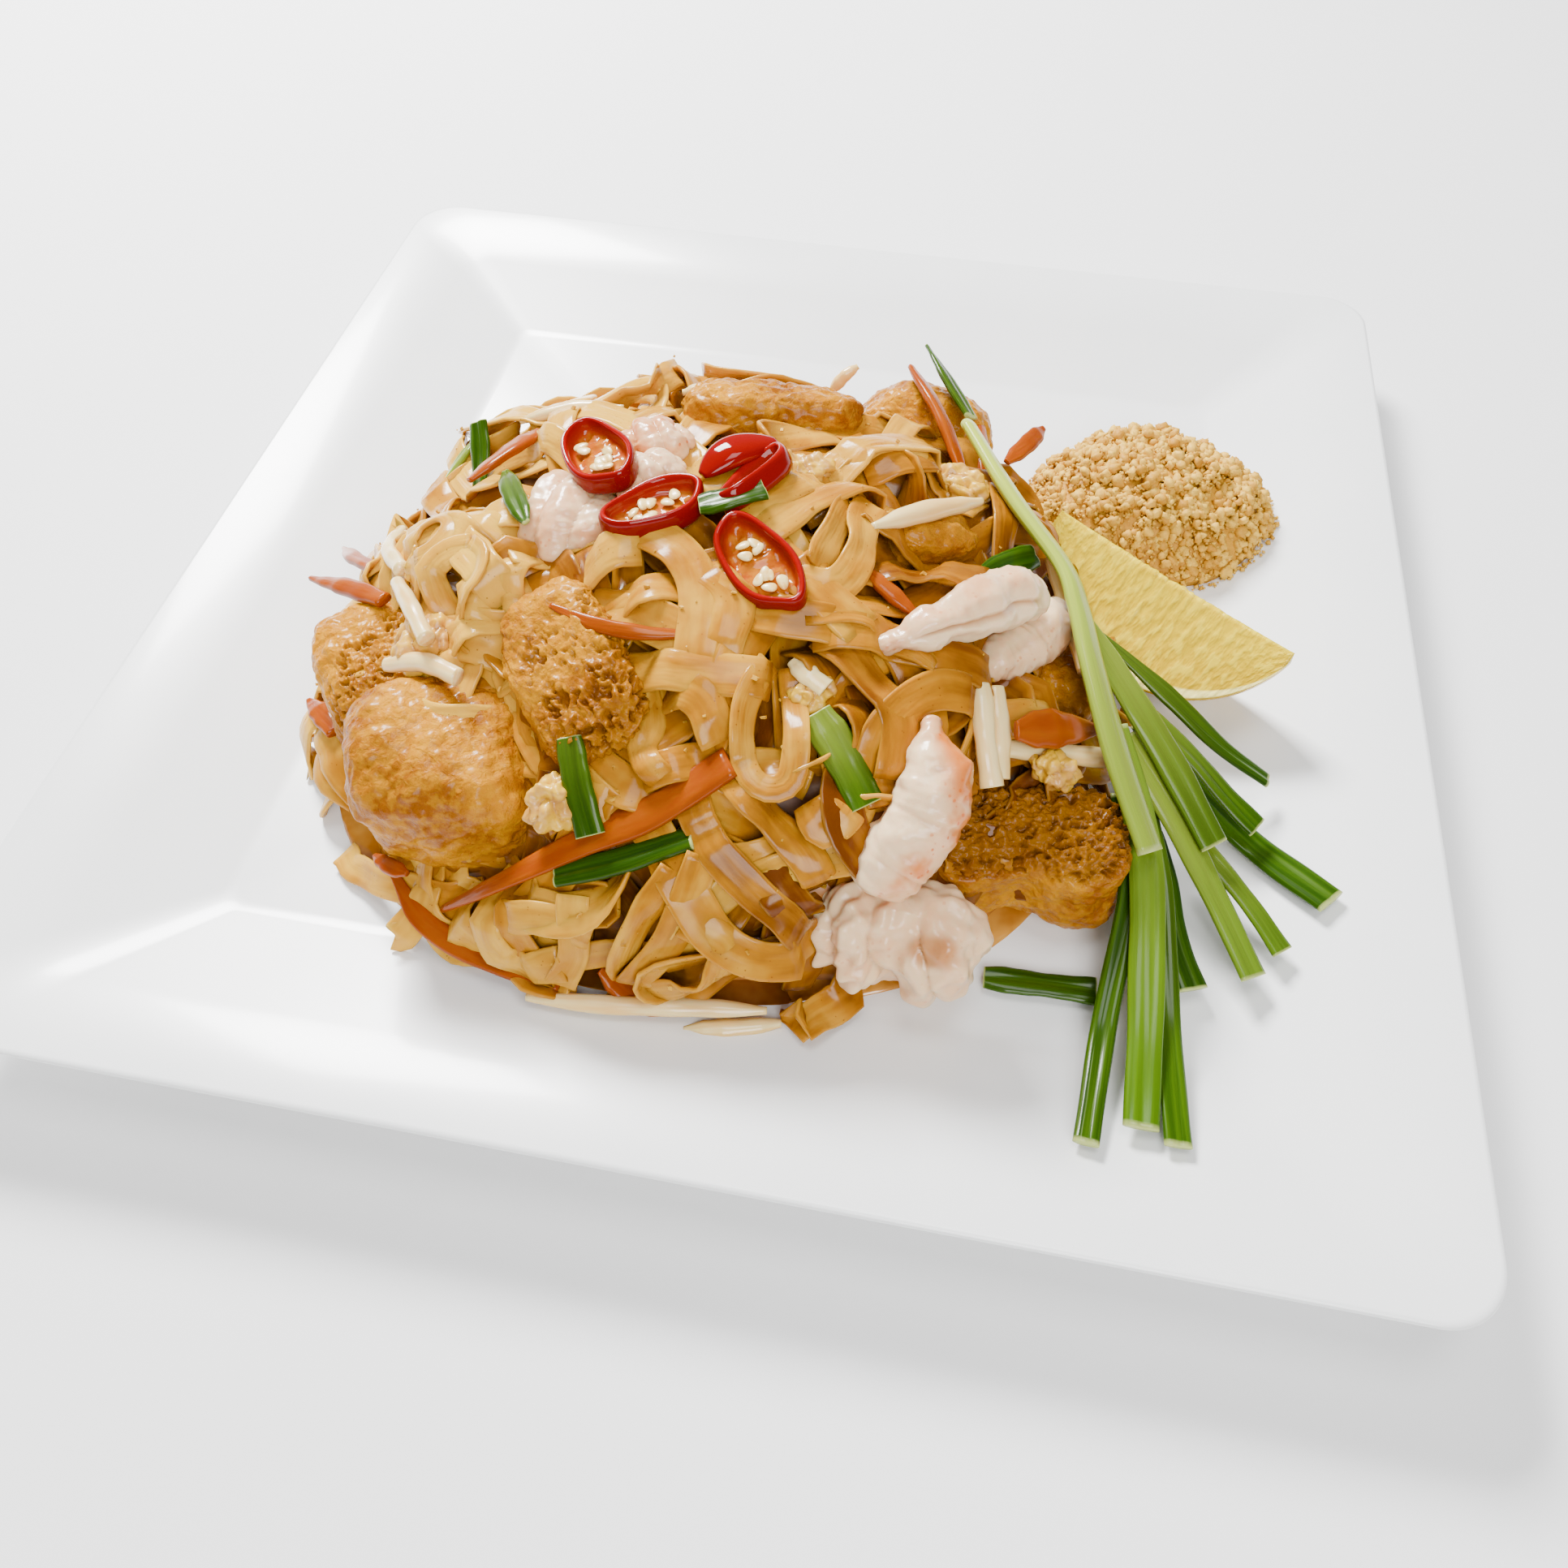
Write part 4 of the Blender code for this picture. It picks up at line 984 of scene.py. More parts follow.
def make_prawns(sizes):
    """Prawns: a curled, ringed body along a route with a slit back, or a rounded opened tail."""
    finish = prawn_finish(sizes)
    for index, (name, (route, width, thickness, profile)) in enumerate(PRAWNS.items()):
        segments, ringed, slit_at, slit_depth, flush = PRAWN_LOOKS[name]
        rows, around = 90, 36
        path = even_route(route, rows)
        middle = path[rows // 2]
        up = np.array(heap_normal(middle[0], middle[1]))
        t = np.linspace(0, 1, rows)
        share = np.interp(t, np.linspace(0, 1, len(profile)), profile)
        share = np.convolve(np.pad(share, 4, "edge"), np.ones(9) / 9, "valid")
        share *= np.sqrt(np.clip(np.minimum(t, 1 - t) * 24, 0.0, 1))
        ring = np.abs(np.sin(t * math.pi * segments + 0.4))
        swell = 1 + ringed * ring**0.5
        rings = carried(path, up, oval(around, 2.2), width * share * swell, thickness * share * swell)
        angle = np.linspace(0, TURN, around, endpoint=False)
        slit = np.exp(-(((angle - slit_at) / 0.1) ** 2))[None] * ease((t - 0.12) * 8)[:, None]
        slit = slit * ease((0.92 - t) * 8)[:, None] * slit_depth
        normal = unit(rings - path[:, None])
        crease = np.clip(1 - ring * 3.2, 0, 1)[:, None] * np.clip(np.sin(angle), 0, 1)[None]
        rings = rings - normal * (slit * 1.1)[..., None] - normal * (crease * ringed * 5)[..., None]
        flat = rings.reshape(-1, 3)
        relief = 0.6 * waves(flat, 7, 90 + index) + 0.22 * waves(flat, 2.4, 95 + index)
        flat = flat + normal.reshape(-1, 3) * relief[:, None]
        flank = np.broadcast_to(ease(0.62 - np.cos(angle) * 0.9)[None], (rows, around))
        tail = ease(1.3 - t * 7)[:, None]
        blush = np.clip(flank * 0.85 + tail, 0, 1) * flush
        # crease: painted shade in the slit and the ring grooves, and a browner tail.
        single("piece_" + name, finish, "prawn_meat", [name],
               flat, tube_quads(rows, around), blush=blush.ravel(),
               crease=np.clip(slit * 0.8 + crease * ringed * 5 + tail * 0.3, 0, 0.85).ravel())
    for seed, (name, shape) in enumerate(PRAWN_LUMPS.items(), 1):
        big = name == "prawn_butterflied"
        points, quads, way = lump_net(*shape, seed, 56 if big else 36)
        normal = net_normals(points, quads)
        if big:
            fold = np.abs(np.sin(way[:, 0] * 5.5 + way[:, 2] * 1.6 + 0.6)) ** 0.55
            groove = (1 - fold) * np.clip(0.4 - way[:, 1], 0, 1)
            knobs = 0.4 + 0.7 * ease(0.2 - 2 * way[:, 0])
            relief = -3.2 * groove + 0.9 * waves(points, 9, 201) + knobs * waves(points, 3.8, 202)
        else:
            fold = np.abs(np.sin(way[:, 0] * 4.6 + way[:, 1] * 1.2 + seed)) ** 0.6
            groove = 1 - fold
            relief = -1.3 * groove + 0.5 * waves(points, 7, 205 + seed)
            relief += 0.2 * waves(points, 2.5, 210 + seed)
        points = points + normal * relief[:, None]
        # Painted shade along the grooves of the folds.
        crease = ease(groove * 2 - 1.1) * 0.5
        if big:
            facing = unit(points - np.array(shape[0]))
            amber = ease(1.7 - 4.5 * np.linalg.norm(facing - np.array([0.45, -0.5, 0.74]), axis=1))
            crease = np.maximum(crease, amber * 0.75)
        single("piece_" + name, finish, "prawn_meat", [name],
               points, quads, blush=LUMP_BLUSH.get(name, 0.45), crease=crease)


# ---------------------------------------------------------------- chilli


def make_chilli(sizes):
    """Slanting chilli slices: loops round an oval, up the skin, over the cut wall, into the hollow."""
    finish = chilli_finish(sizes)
    seeds = Batch()
    draw = np.random.default_rng(31)
    bean, bean_quads = cube_net(4)
    bean = unit(bean)
    around = 64
    for name, (middle, half_length, half_width, heading, tilt, thickness, lift) in CHILLI.items():
        h = thickness / 2
        wall = CHILLI_WALL
        # Inset from the outline, height and how far inside, from the underside up and over.
        levels = [(wall * 2.6, -h * 0.7, 0.9), (wall * 0.9, -h, 0.1), (wall * 0.35, -h * 0.92, 0.0),
                  (0.05, -h * 0.6, 0.0), (0.0, -h * 0.2, 0.0), (0.0, h * 0.3, 0.0),
                  (0.08, h * 0.7, 0.02),
                  (0.3, h * 0.9, 0.15), (0.6, h, 0.4), (wall * 0.5, h * 1.04, 0.45),
                  (wall * 0.85, h * 0.98, 0.5), (wall, h * 0.8, 0.6), (wall * 1.15, h * 0.3, 0.66),
                  (wall * 1.3, -h * 0.1, 0.74),
                  (wall * 1.7, -h * 0.3, 0.85), (wall * 2.3, -h * 0.34, 0.95),
                  (wall * 2.9, -h * 0.25, 1.0)]
        turns = np.linspace(0, TURN, around, endpoint=False)
        wobble = 1 + 0.04 * np.sin(3 * turns + half_length) + 0.025 * np.sin(5 * turns + 1)
        rings = []
        for inset, height, _ in levels:
            rings.append(np.stack([(half_length - inset) * np.cos(turns) * wobble,
                                   (half_width - inset * 0.95) * np.sin(turns) * wobble,
                                   height + 0.25 * np.sin(2 * turns + inset)], 1))
        rings = np.stack(rings)
        inside = np.repeat([level[2] for level in levels], around)
        points = rings.reshape(-1, 3)
        deep = ease((inside - 0.7) * 4)
        points = points + np.array([0, 0, 1]) * (0.45 * waves(points, 2.6, 41) * deep)[:, None]
        turn = turned(math.radians(heading), math.radians(tilt))
        normal = heap_normal(*middle)
        spin = np.array(Vector((0, 0, 1)).rotation_difference(normal).to_matrix() @ turn)
        place = np.array([*middle, float(heap_height(*middle))]) + np.array(normal) * lift
        single("piece_" + name, finish, "chilli_red", [name],
               points @ spin.T + place, tube_quads(len(levels), around)[:, ::-1], inside=inside)
        for _ in range(SEEDS_IN_SLICE):
            angle = draw.uniform(0, TURN)
            out = draw.uniform(0.25, 0.75)
            at = np.array([math.cos(angle) * (half_length - wall * 2) * out,
                           math.sin(angle) * (half_width - wall * 1.6) * out, -h * 0.05 + 0.5])
            size = np.array(SEED_HALF) * draw.uniform(0.8, 1.1)
            shape = bean * size
            shape[:, 1] *= 1 - 0.3 * shape[:, 0] / size[0]
            lie = turned(draw.uniform(0, TURN), draw.uniform(-0.4, 0.4))
            seeds.add((shape @ np.array(lie).T + at) @ spin.T + place, bean_quads)
    seeds.piece("chilli_seeds", seed_finish(), "chilli_red")
    route, width, thickness = CHILLI_SKIN
    rows = 40
    path = even_route(route, rows)
    share = np.sin(np.linspace(0.12, math.pi - 0.12, rows)) ** 0.6
    around = 28
    rings = carried(path, np.array(heap_normal(*route[1][:2])), oval(around, 2.3), width * share,
                    thickness * 1.15 * share)
    single("piece_chilli_3", finish, "chilli_red", ["chilli_3"],
           rings, tube_quads(rows, around), inside=0.0)


# ---------------------------------------------------------------- strands


def strand_piece(name, shape, material, slot, in_cad, rows, outline, warp, seed, values):
    """One strand along its route: the outline's width follows the profile, with a slight waver."""
    route, width, thickness, profile = shape
    path = even_route(route, rows)
    middle = path[rows // 2]
    up = np.array(heap_normal(middle[0], middle[1]) if route[0][2] > 40 else (0, 0, 1))
    t = np.linspace(0, 1, rows)
    share = np.interp(t, np.linspace(0, 1, len(profile)), profile)
    share = share * (1 + warp * np.sin(t * 9 + seed) + warp * 0.6 * np.sin(t * 23 + 2 * seed))
    thin = np.maximum(share, 0.5)
    rings = carried(path, up, outline, width * share, thickness * thin, 0.15 * np.sin(t * 4 + seed))
    length = np.linalg.norm(np.diff(path, axis=0), axis=1).sum()
    around = len(outline)
    across = np.broadcast_to(np.linspace(-1, 1, around)[None], (rows, around)).ravel()
    single("piece_" + name, material, slot, [name] if in_cad else [],
           rings, tube_quads(rows, around), across=across, along=np.repeat(t * length, around),
           seed=float(seed) * 3.7, **{k: np.repeat(v(t), around) for k, v in values.items()})


def blade_outline(around=28):
    """A flattened hollow leaf's outline: an oval with a shallow furrow along the middle of its top."""
    ring = oval(around, 2.4)
    ring[:, 1] -= 0.38 * np.exp(-((ring[:, 0] / 0.3) ** 2)) * (ring[:, 1] > 0)
    return ring


def make_greens(sizes):
    """Garlic chives: flattened leaves and one pale stalk, furrowed, with pale cut ends."""
    finish = green_finish(sizes)
    for seed, (name, shape) in enumerate(CHIVES.items(), 1):
        start, end, yellow = GREENS[name]
        outline = oval(28, 2.3) if name == "chive_stalk" else blade_outline()
        values = {
            "pale": lambda t, a=start, b=end: a + (b - a) * ease(t),
            "yellow": lambda t, y=yellow: y + 0 * t,
            "cut": lambda t: ease((np.abs(t - 0.5) - 0.494) * 200),
        }
        strand_piece(name, shape, finish, "chive_green", True, 72, outline, 0.03, seed, values)


def make_carrots(sizes):
    """Carrot shreds: squarish strips that thin out towards their ends."""
    finish = carrot_finish(sizes)
    for seed, (name, shape) in enumerate({**CARROTS, **CARROT_BITS}.items(), 40):
        strand_piece(name, shape, finish, "carrot_orange", name in CARROTS, 56, oval(20, 3.2), 0.05,
                     seed, {})


def make_sprouts():
    """Bean sprouts: round, moist stems that waver in width."""
    finish = sprout_finish()
    for seed, (name, shape) in enumerate({**SPROUTS, **SPROUT_BITS}.items(), 60):
        strand_piece(name, shape, finish, "sprout_white", name in SPROUTS, 56, oval(20), 0.05, seed,
                     {})


# ---------------------------------------------------------------- lemon and peanut


def make_lemon(sizes):
    """Lemon wedge: rows along its length, each a loop down one cut face, round the rind and back up."""
    rows, face, arc = 120, 26, 34
    t = np.linspace(-0.985, 0.985, rows)
    radius = LEMON_RADIUS * (1 - np.abs(t) ** 2.4) ** 0.62 + 1.0
    down = np.linspace(0.03, 1, face)
    turns = np.linspace(-LEMON_HALF_ANGLE, LEMON_HALF_ANGLE, arc)
    out = np.concatenate([down, np.ones(arc - 2), down[::-1]])
    angle = np.concatenate([np.full(face, turns[0]), turns[1:-1], np.full(face, turns[-1])])
    reach = radius[:, None] * out[None]
    x = np.broadcast_to((t * LEMON_HALF_LENGTH)[:, None], reach.shape)
    points = np.stack([x, reach * np.sin(angle)[None], -reach * np.cos(angle)[None]], -1)
    on_face = (out < 0.9)[None] * ease(1 - np.abs(t) * 1.02)[:, None]
    flat = points.reshape(-1, 3)
    sag = (0.7 * np.sin(np.clip(out / 0.88, 0, 1) * math.pi)[None] * on_face).ravel()
    inward = np.stack([np.zeros(len(flat)), -np.sign(flat[:, 1]) * math.cos(LEMON_HALF_ANGLE),
                       np.full(len(flat), -math.sin(LEMON_HALF_ANGLE))], 1)
    juice = 0.22 * waves(flat * np.array([1, 0.25, 0.25]), 1.6, 71) * on_face.ravel()
    flat = flat + inward * (sag + juice)[:, None]
    turn = turned(LEMON_HEADING, -LEMON_ROLL)
    flat = flat @ np.array(turn).T + np.array(LEMON_EDGE)
    around = len(out)
    single("piece_lemon", lemon_finish(sizes), "lemon_flesh", ["lemon_wedge"],
           flat, tube_quads(rows, around), out=np.broadcast_to(out[None], reach.shape).ravel(),
           along=x.ravel(), seed=2.0)


def scatter(batch, places, normals, low, high, seed, cuts, tones, flatness):
    """Crumbs: small cube nets, jagged point by point, turned any way, one at each place.

    Each turn is a random unit quaternion written out as a matrix.
    """
    draw = np.random.default_rng(seed)
    net, quads = cube_net(cuts)
    count = len(places)
    net = unit(net)[None] * (1 + 0.26 * draw.normal(size=(count, len(net), 1)).clip(-1.2, 1.2))
    size = low + (high - low) * draw.uniform(0, 1, (count, 1, 1)) ** 2.2
    wide, tall = draw.uniform(0.6, 1, count), draw.uniform(flatness * 0.6, flatness, count)
    net = net * size / 2 * np.stack([np.ones(count), wide, tall], 1)[:, None]
    turn = draw.normal(size=(count, 4))
    turn /= np.linalg.norm(turn, axis=1, keepdims=True)
    w, x, y, z = turn.T
    spin = np.stack([1 - 2 * (y * y + z * z), 2 * (x * y - z * w), 2 * (x * z + y * w),
                     2 * (x * y + z * w), 1 - 2 * (x * x + z * z), 2 * (y * z - x * w),
                     2 * (x * z - y * w), 2 * (y * z + x * w), 1 - 2 * (x * x + y * y)], 1)
    net = np.einsum("nij,nkj->nki", spin.reshape(-1, 3, 3), net)
    lift = size[:, 0] * 0.2
    points = net + (places + normals * lift)[:, None]
    every = (quads[None] + (np.arange(count) * net.shape[1])[:, None, None]).reshape(-1, 4)
    batch.add(points.reshape(-1, 3), every, tone=np.repeat(tones, net.shape[1]))


def peanut_height(x, y):
    """Height of the peanut heap: a plain rounded dome on the plate's slope."""
    reach = ((x - PEANUT_CENTRE[0]) / PEANUT_HALF[0]) ** 2
    reach = reach + ((y - PEANUT_CENTRE[1]) / PEANUT_HALF[1]) ** 2
    return plate_top(x, y) + PEANUT_CORE_HEIGHT * np.clip(1 - reach, 0, 1) ** 0.7


def make_peanuts(sizes):
    """Crushed peanut: a low dome under thousands of crumbs, finer ones between, a few strays."""
    finish = nut_finish(sizes)
    draw = np.random.default_rng(81)
    rings, spokes = 22, 56
    reach = np.sin(np.linspace(0.02, math.pi / 2, rings))[:, None]
    angle = np.linspace(0, TURN, spokes, endpoint=False)[None]
    x = PEANUT_CENTRE[0] + (PEANUT_HALF[0] - 1) * reach * np.cos(angle)
    y = PEANUT_CENTRE[1] + (PEANUT_HALF[1] - 1) * reach * np.sin(angle)
    z = peanut_height(x, y) - 0.6
    top = np.stack([x, y, np.maximum(z, plate_top(x, y) + 0.3)], -1)
    low = top[-1].copy()
    low[:, 2] = plate_top(low[:, 0], low[:, 1]) + 0.1
    core = np.concatenate([top, low[None]])
    batch = Batch()
    batch.add(core, tube_quads(rings + 1, spokes)[:, ::-1], tone=0.9)
    for count, small, large, cuts, spill in PEANUT_CRUMBS:
        out = np.sqrt(draw.uniform(0, 1, count)) * spill
        way = draw.uniform(0, TURN, count)
        x = PEANUT_CENTRE[0] + PEANUT_HALF[0] * out * np.cos(way)
        y = PEANUT_CENTRE[1] + PEANUT_HALF[1] * out * np.sin(way)
        level = np.stack([x, y, 0 * x], 1)
        mounds = 1.4 * waves(level, 9, 83) + 0.8 * waves(level, 4, 84)
        inner = np.clip((1 - out) * 6, 0, 1)
        z = np.maximum(peanut_height(x, y) + mounds * inner, plate_top(x, y) + 0.5)
        places = np.stack([x, y, z], 1)
        normals = np.tile([0.0, 0.0, 1.0], (count, 1))
        tones = draw.uniform(0, 1, count) ** 1.5
        scatter(batch, places, normals, small, large, 90 + count, cuts, tones, 0.9)
    batch.piece("crushed_peanut", finish, "crushed_nut", ["peanut_heap"])


# ---------------------------------------------------------------- noodles


# The pile's map (millimetres): its cell, its half side, and the roof where no topping lies.
CELL = 1.25
MAP_HALF = 150.0
OPEN_SKY = 99.0
# Random routes: spacing of their places, how far out they start, where they are held back and the
# most by which they can pass that.
ROUTE_STEP = 2.4
START_WITHIN = 118.0
HELD_FROM = 104.0
HELD_GIVE = 20.0
# The heap is full when its mean level is this close to the dome, and noodles on listed routes count
# from:
FULL_AT = -0.6
HAND_LAID_FROM = 9000
# How far a band's two ends dip into the pile.
END_DROP = 3.0
# No noodle is laid higher above the dome than this.
HIGHEST = 4.5
# Places across a band, as shares of half its width, at which it is tested against the pile.
SHARES = np.linspace(-1, 1, 7)
# Rays that find the toppings start this far outside and inside the dome.
RAY_ABOVE = 30.0
RAY_BELOW = 15.0
RAY_LENGTH = 45.0


class Pile:
    """Heights above the dome, on its flat map: the top of what has been laid so far."""

    def __init__(self, start):
        self.count = int(2 * MAP_HALF / CELL) + 1
        axis = np.linspace(-MAP_HALF, MAP_HALF, self.count)
        self.grid = np.stack(np.meshgrid(axis, axis, indexing="ij"), -1)
        self.top = np.full((self.count, self.count), float(start))
        self.roof = np.full((self.count, self.count), OPEN_SKY)

    def cells(self, flat):
        """The map's cells at points of the flat map."""
        index = np.rint((flat + MAP_HALF) / CELL).astype(int)
        return tuple(np.clip(index, 0, self.count - 1)[..., i] for i in range(2))


def across_map(flat):
    """For a route on the map: its places, normals, and the map step that is one millimetre aside.

    The step is the side vector written in the map's two slopes, by their two by two matrix.
    """
    place, along_x, along_y, normal = heap_frame(flat)
    step = np.gradient(flat, axis=0)
    ahead = unit(along_x * step[:, :1] + along_y * step[:, 1:])
    side = unit(np.cross(ahead, normal))
    xx, yy = (along_x**2).sum(1), (along_y**2).sum(1)
    xy = (along_x * along_y).sum(1)
    bx, by = (along_x * side).sum(1), (along_y * side).sum(1)
    det = np.maximum(xx * yy - xy * xy, 1e-6)
    aside = np.stack([(yy * bx - xy * by) / det, (xx * by - xy * bx) / det], 1)
    return place, normal, aside


def soften(values, times):
    """A row of values blurred by a short window, several times over, its ends held."""
    for _ in range(times):
        values = np.convolve(np.pad(values, 1, "edge"), (0.25, 0.5, 0.25), "valid")
    return values


def rest_levels(pile, flat, aside, width, thickness, roll):
    """The height at which a band rests on the pile, and the roll that lets it lie against it.

    At each step: the greatest of the heights below it, less the band's own rise towards that side.
    """
    lean = np.cos(roll)[:, None, None] * width[:, None, None] / 2 * SHARES[None, :, None]
    under = pile.top[pile.cells(flat[:, None] + aside[:, None] * lean)]
    slope = np.arctan2(under[:, -1] - under[:, 0], width * np.cos(roll))
    roll = roll + soften(np.clip(slope, -0.9, 0.9), 4) * 0.6
    rise = SHARES[None] * (width[:, None] / 2) * np.sin(roll)[:, None]
    return (under - rise).max(1) + thickness / 2, roll


def lay(pile, flat, width, thickness, roll, stiffness=10, lift=0.0):
    """Lays one band on the pile: it bridges hollows as far as its stiffness lets it.

    The level is raised to the greater of itself and its own blur, again and again, and then held
    under the roof of toppings; the less room there is, the flatter the band lies. Returns the
    middle line, the normals and the roll, and raises the pile at twice as many places.
    """
    place, normal, aside = across_map(flat)
    level, roll = rest_levels(pile, flat, aside, width, thickness, roll)
    shaped = level.copy()
    for _ in range(stiffness):
        shaped = np.maximum(level, soften(shaped, 1))
    shaped = soften(shaped, 2) + 0.15
    count = len(flat)
    t = np.arange(count)
    near_end = np.minimum(t, count - 1 - t) / 4.0
    shaped = shaped + lift - END_DROP * (1 - ease(near_end))
    roof = soften(np.minimum(pile.roof[pile.cells(flat)], 40), 1)
    roll = roll * np.clip((roof - shaped + 5) / 5, 0.3, 1) * np.clip((9 - shaped) / 6, 0.3, 1)
    shaped = np.minimum(shaped, np.minimum(roof - np.abs(np.sin(roll)) * width * 0.3, HIGHEST))
    line = place + normal * shaped[:, None]
    floor = plate_top(line[:, 0], line[:, 1]) + 0.7 + np.abs(np.sin(roll)) * width / 2
    line[:, 2] = np.maximum(line[:, 2], floor)
    fine = np.linspace(0, count - 1, 2 * count)
    right, ahead, height, turned, wide, aside_x, aside_y = (
        np.interp(fine, t, v)[:, None] for v in (*flat.T, shaped, roll, width, *aside.T))
    lean = np.cos(turned) * wide / 2 * SHARES[None]
    spots = np.stack([right + aside_x * lean, ahead + aside_y * lean], -1)
    tops = height + SHARES[None] * (wide / 2 * np.sin(turned)) + thickness / 2
    np.maximum.at(pile.top, pile.cells(spots), tops)
    return line, normal, roll


# A noodle's outline, rounded at both edges, and how far across the noodle each of its points is.
BAND = np.array([
    (1, 0), (0.96, 0.6), (0.82, 0.95), (0.3, 1), (-0.3, 1), (-0.82, 0.95), (-0.96, 0.6),
    (-1, 0), (-0.96, -0.6), (-0.82, -0.95), (-0.3, -1), (0.3, -1), (0.82, -0.95), (0.96, -0.6)])
BAND_ACROSS = np.array([1, 0.96, 0.8, 0.3, -0.3, -0.8, -0.96, -1, -0.96, -0.8, -0.3, 0.3, 0.8, 0.96])


def band_rings(line, normal, width, thickness, roll, cup):
    """A noodle's surface: the band's outline along its line, turned by roll, its edges cupped.

    Each point is lifted square to the band by its share across, squared, less 0.4, times the cup.
    """
    rings = carried(line, normal, BAND, width, thickness, roll)
    lifted = (BAND[:, 0] ** 2 - 0.4) * cup
    mean = rings.mean(1, keepdims=True)
    ahead = unit(np.gradient(line, axis=0))
    flat_way = unit(rings[:, 0] - mean[:, 0])
    return rings + np.cross(flat_way, ahead)[:, None] * lifted[None, :, None]


def tone_with_painted_light_at(place):
    """How caramel the noodles look: cream at the back left, caramel towards the front right, partly the
    sauce and partly painted light from the back left with painted shade towards the front right.
    """
    return np.clip(0.42 + (place[..., 0] + 15) / 190 - (place[..., 1] + 45) / 700, 0.03, 0.72)


def pile_depth(line):
    """How far a line lies outside the dome, in millimetres; inside it is less than nothing."""
    return np.clip(line[:, 2] - heap_height(line[:, 0], line[:, 1]), -9, 4)


def random_route(draw):
    """One loose route on the map: a heading whose turns come from a few slow waves.

    Some double back once. Beyond a limit the distance from the middle rises ever more slowly.
    """
    steps = int(draw.integers(26, 74))
    t = np.arange(steps) * ROUTE_STEP
    way = draw.uniform(0, TURN)
    out = START_WITHIN * math.sqrt(draw.uniform(0, 1))
    start = np.array([math.cos(way), math.sin(way)]) * out
    heading = way + draw.choice([0.0, math.pi / 2, math.pi]) + draw.normal() * 0.5
    turn = draw.normal() * 0.6 * t / 60
    for size, strength_of in ((150, 0.6), (80, 0.4), (42, 0.2)):
        turn = turn + draw.normal() * strength_of * np.sin(t * TURN / size + draw.uniform(0, TURN))
    if draw.uniform() < 0.22:
        at = draw.uniform(0.3, 0.7) * t[-1]
        turn = turn + draw.choice([-1, 1]) * math.pi * ease((t - at) / draw.uniform(18, 30))
    angle = heading + turn
    flat = start + np.stack([np.cumsum(np.cos(angle)), np.cumsum(np.sin(angle))], 1) * ROUTE_STEP
    flat = flat - (flat[steps // 2] - start)
    reach = np.hypot(flat[:, 0], flat[:, 1])
    far = np.maximum(reach - HELD_FROM, 0)
    kept = np.minimum(reach, HELD_FROM) + HELD_GIVE * (1 - np.exp(-far / HELD_GIVE))
    return flat * (kept / np.maximum(reach, 1))[:, None], far.max()


def topping_heights(pile, names):
    """Undersides and tops of the toppings above the dome on the map, found by casting rays."""
    place, _, _, normal = heap_frame(pile.grid[::2, ::2])
    low = np.full(place.shape[:2], OPEN_SKY)
    high = np.full(place.shape[:2], -OPEN_SKY)
    points, quads, total = [], [], 0
    for name in names:
        mesh = bpy.data.objects["piece_" + name].data
        co = np.zeros(len(mesh.vertices) * 3, np.float32)
        mesh.vertices.foreach_get("co", co)
        face = np.zeros(len(mesh.loops), np.int32)
        mesh.loops.foreach_get("vertex_index", face)
        points.append(co.reshape(-1, 3) / MM)
        quads.append(face.reshape(-1, 4) + total)
        total += len(mesh.vertices)
    tree = BVHTree.FromPolygons(np.concatenate(points).tolist(), np.concatenate(quads).tolist())
    for i in range(place.shape[0]):
        for j in range(place.shape[1]):
            if np.hypot(*pile.grid[2 * i, 2 * j]) > 140:
                continue
            way = Vector(normal[i, j])
            spot = Vector(place[i, j])
            hit = tree.ray_cast(spot + way * RAY_ABOVE, -way, RAY_LENGTH)
            if hit[0] is None:
                continue
            high[i, j] = RAY_ABOVE - hit[3]
            below = tree.ray_cast(spot - way * RAY_BELOW, way, RAY_LENGTH)
            low[i, j] = below[3] - RAY_BELOW if below[0] is not None else high[i, j] - 4
    whole_map = slice(pile.count)
    return [np.repeat(np.repeat(found, 2, 0), 2, 1)[whole_map, whole_map] for found in (low, high)]


def curl(right, ahead, radius, start, turns):
    """A noodle's route round part of a circle, from an angle, counted in whole turns."""
    angle = start * TURN + np.linspace(0, turns * TURN, 9)
    return [(right + radius * math.cos(a), ahead + radius * math.sin(a)) for a in angle]
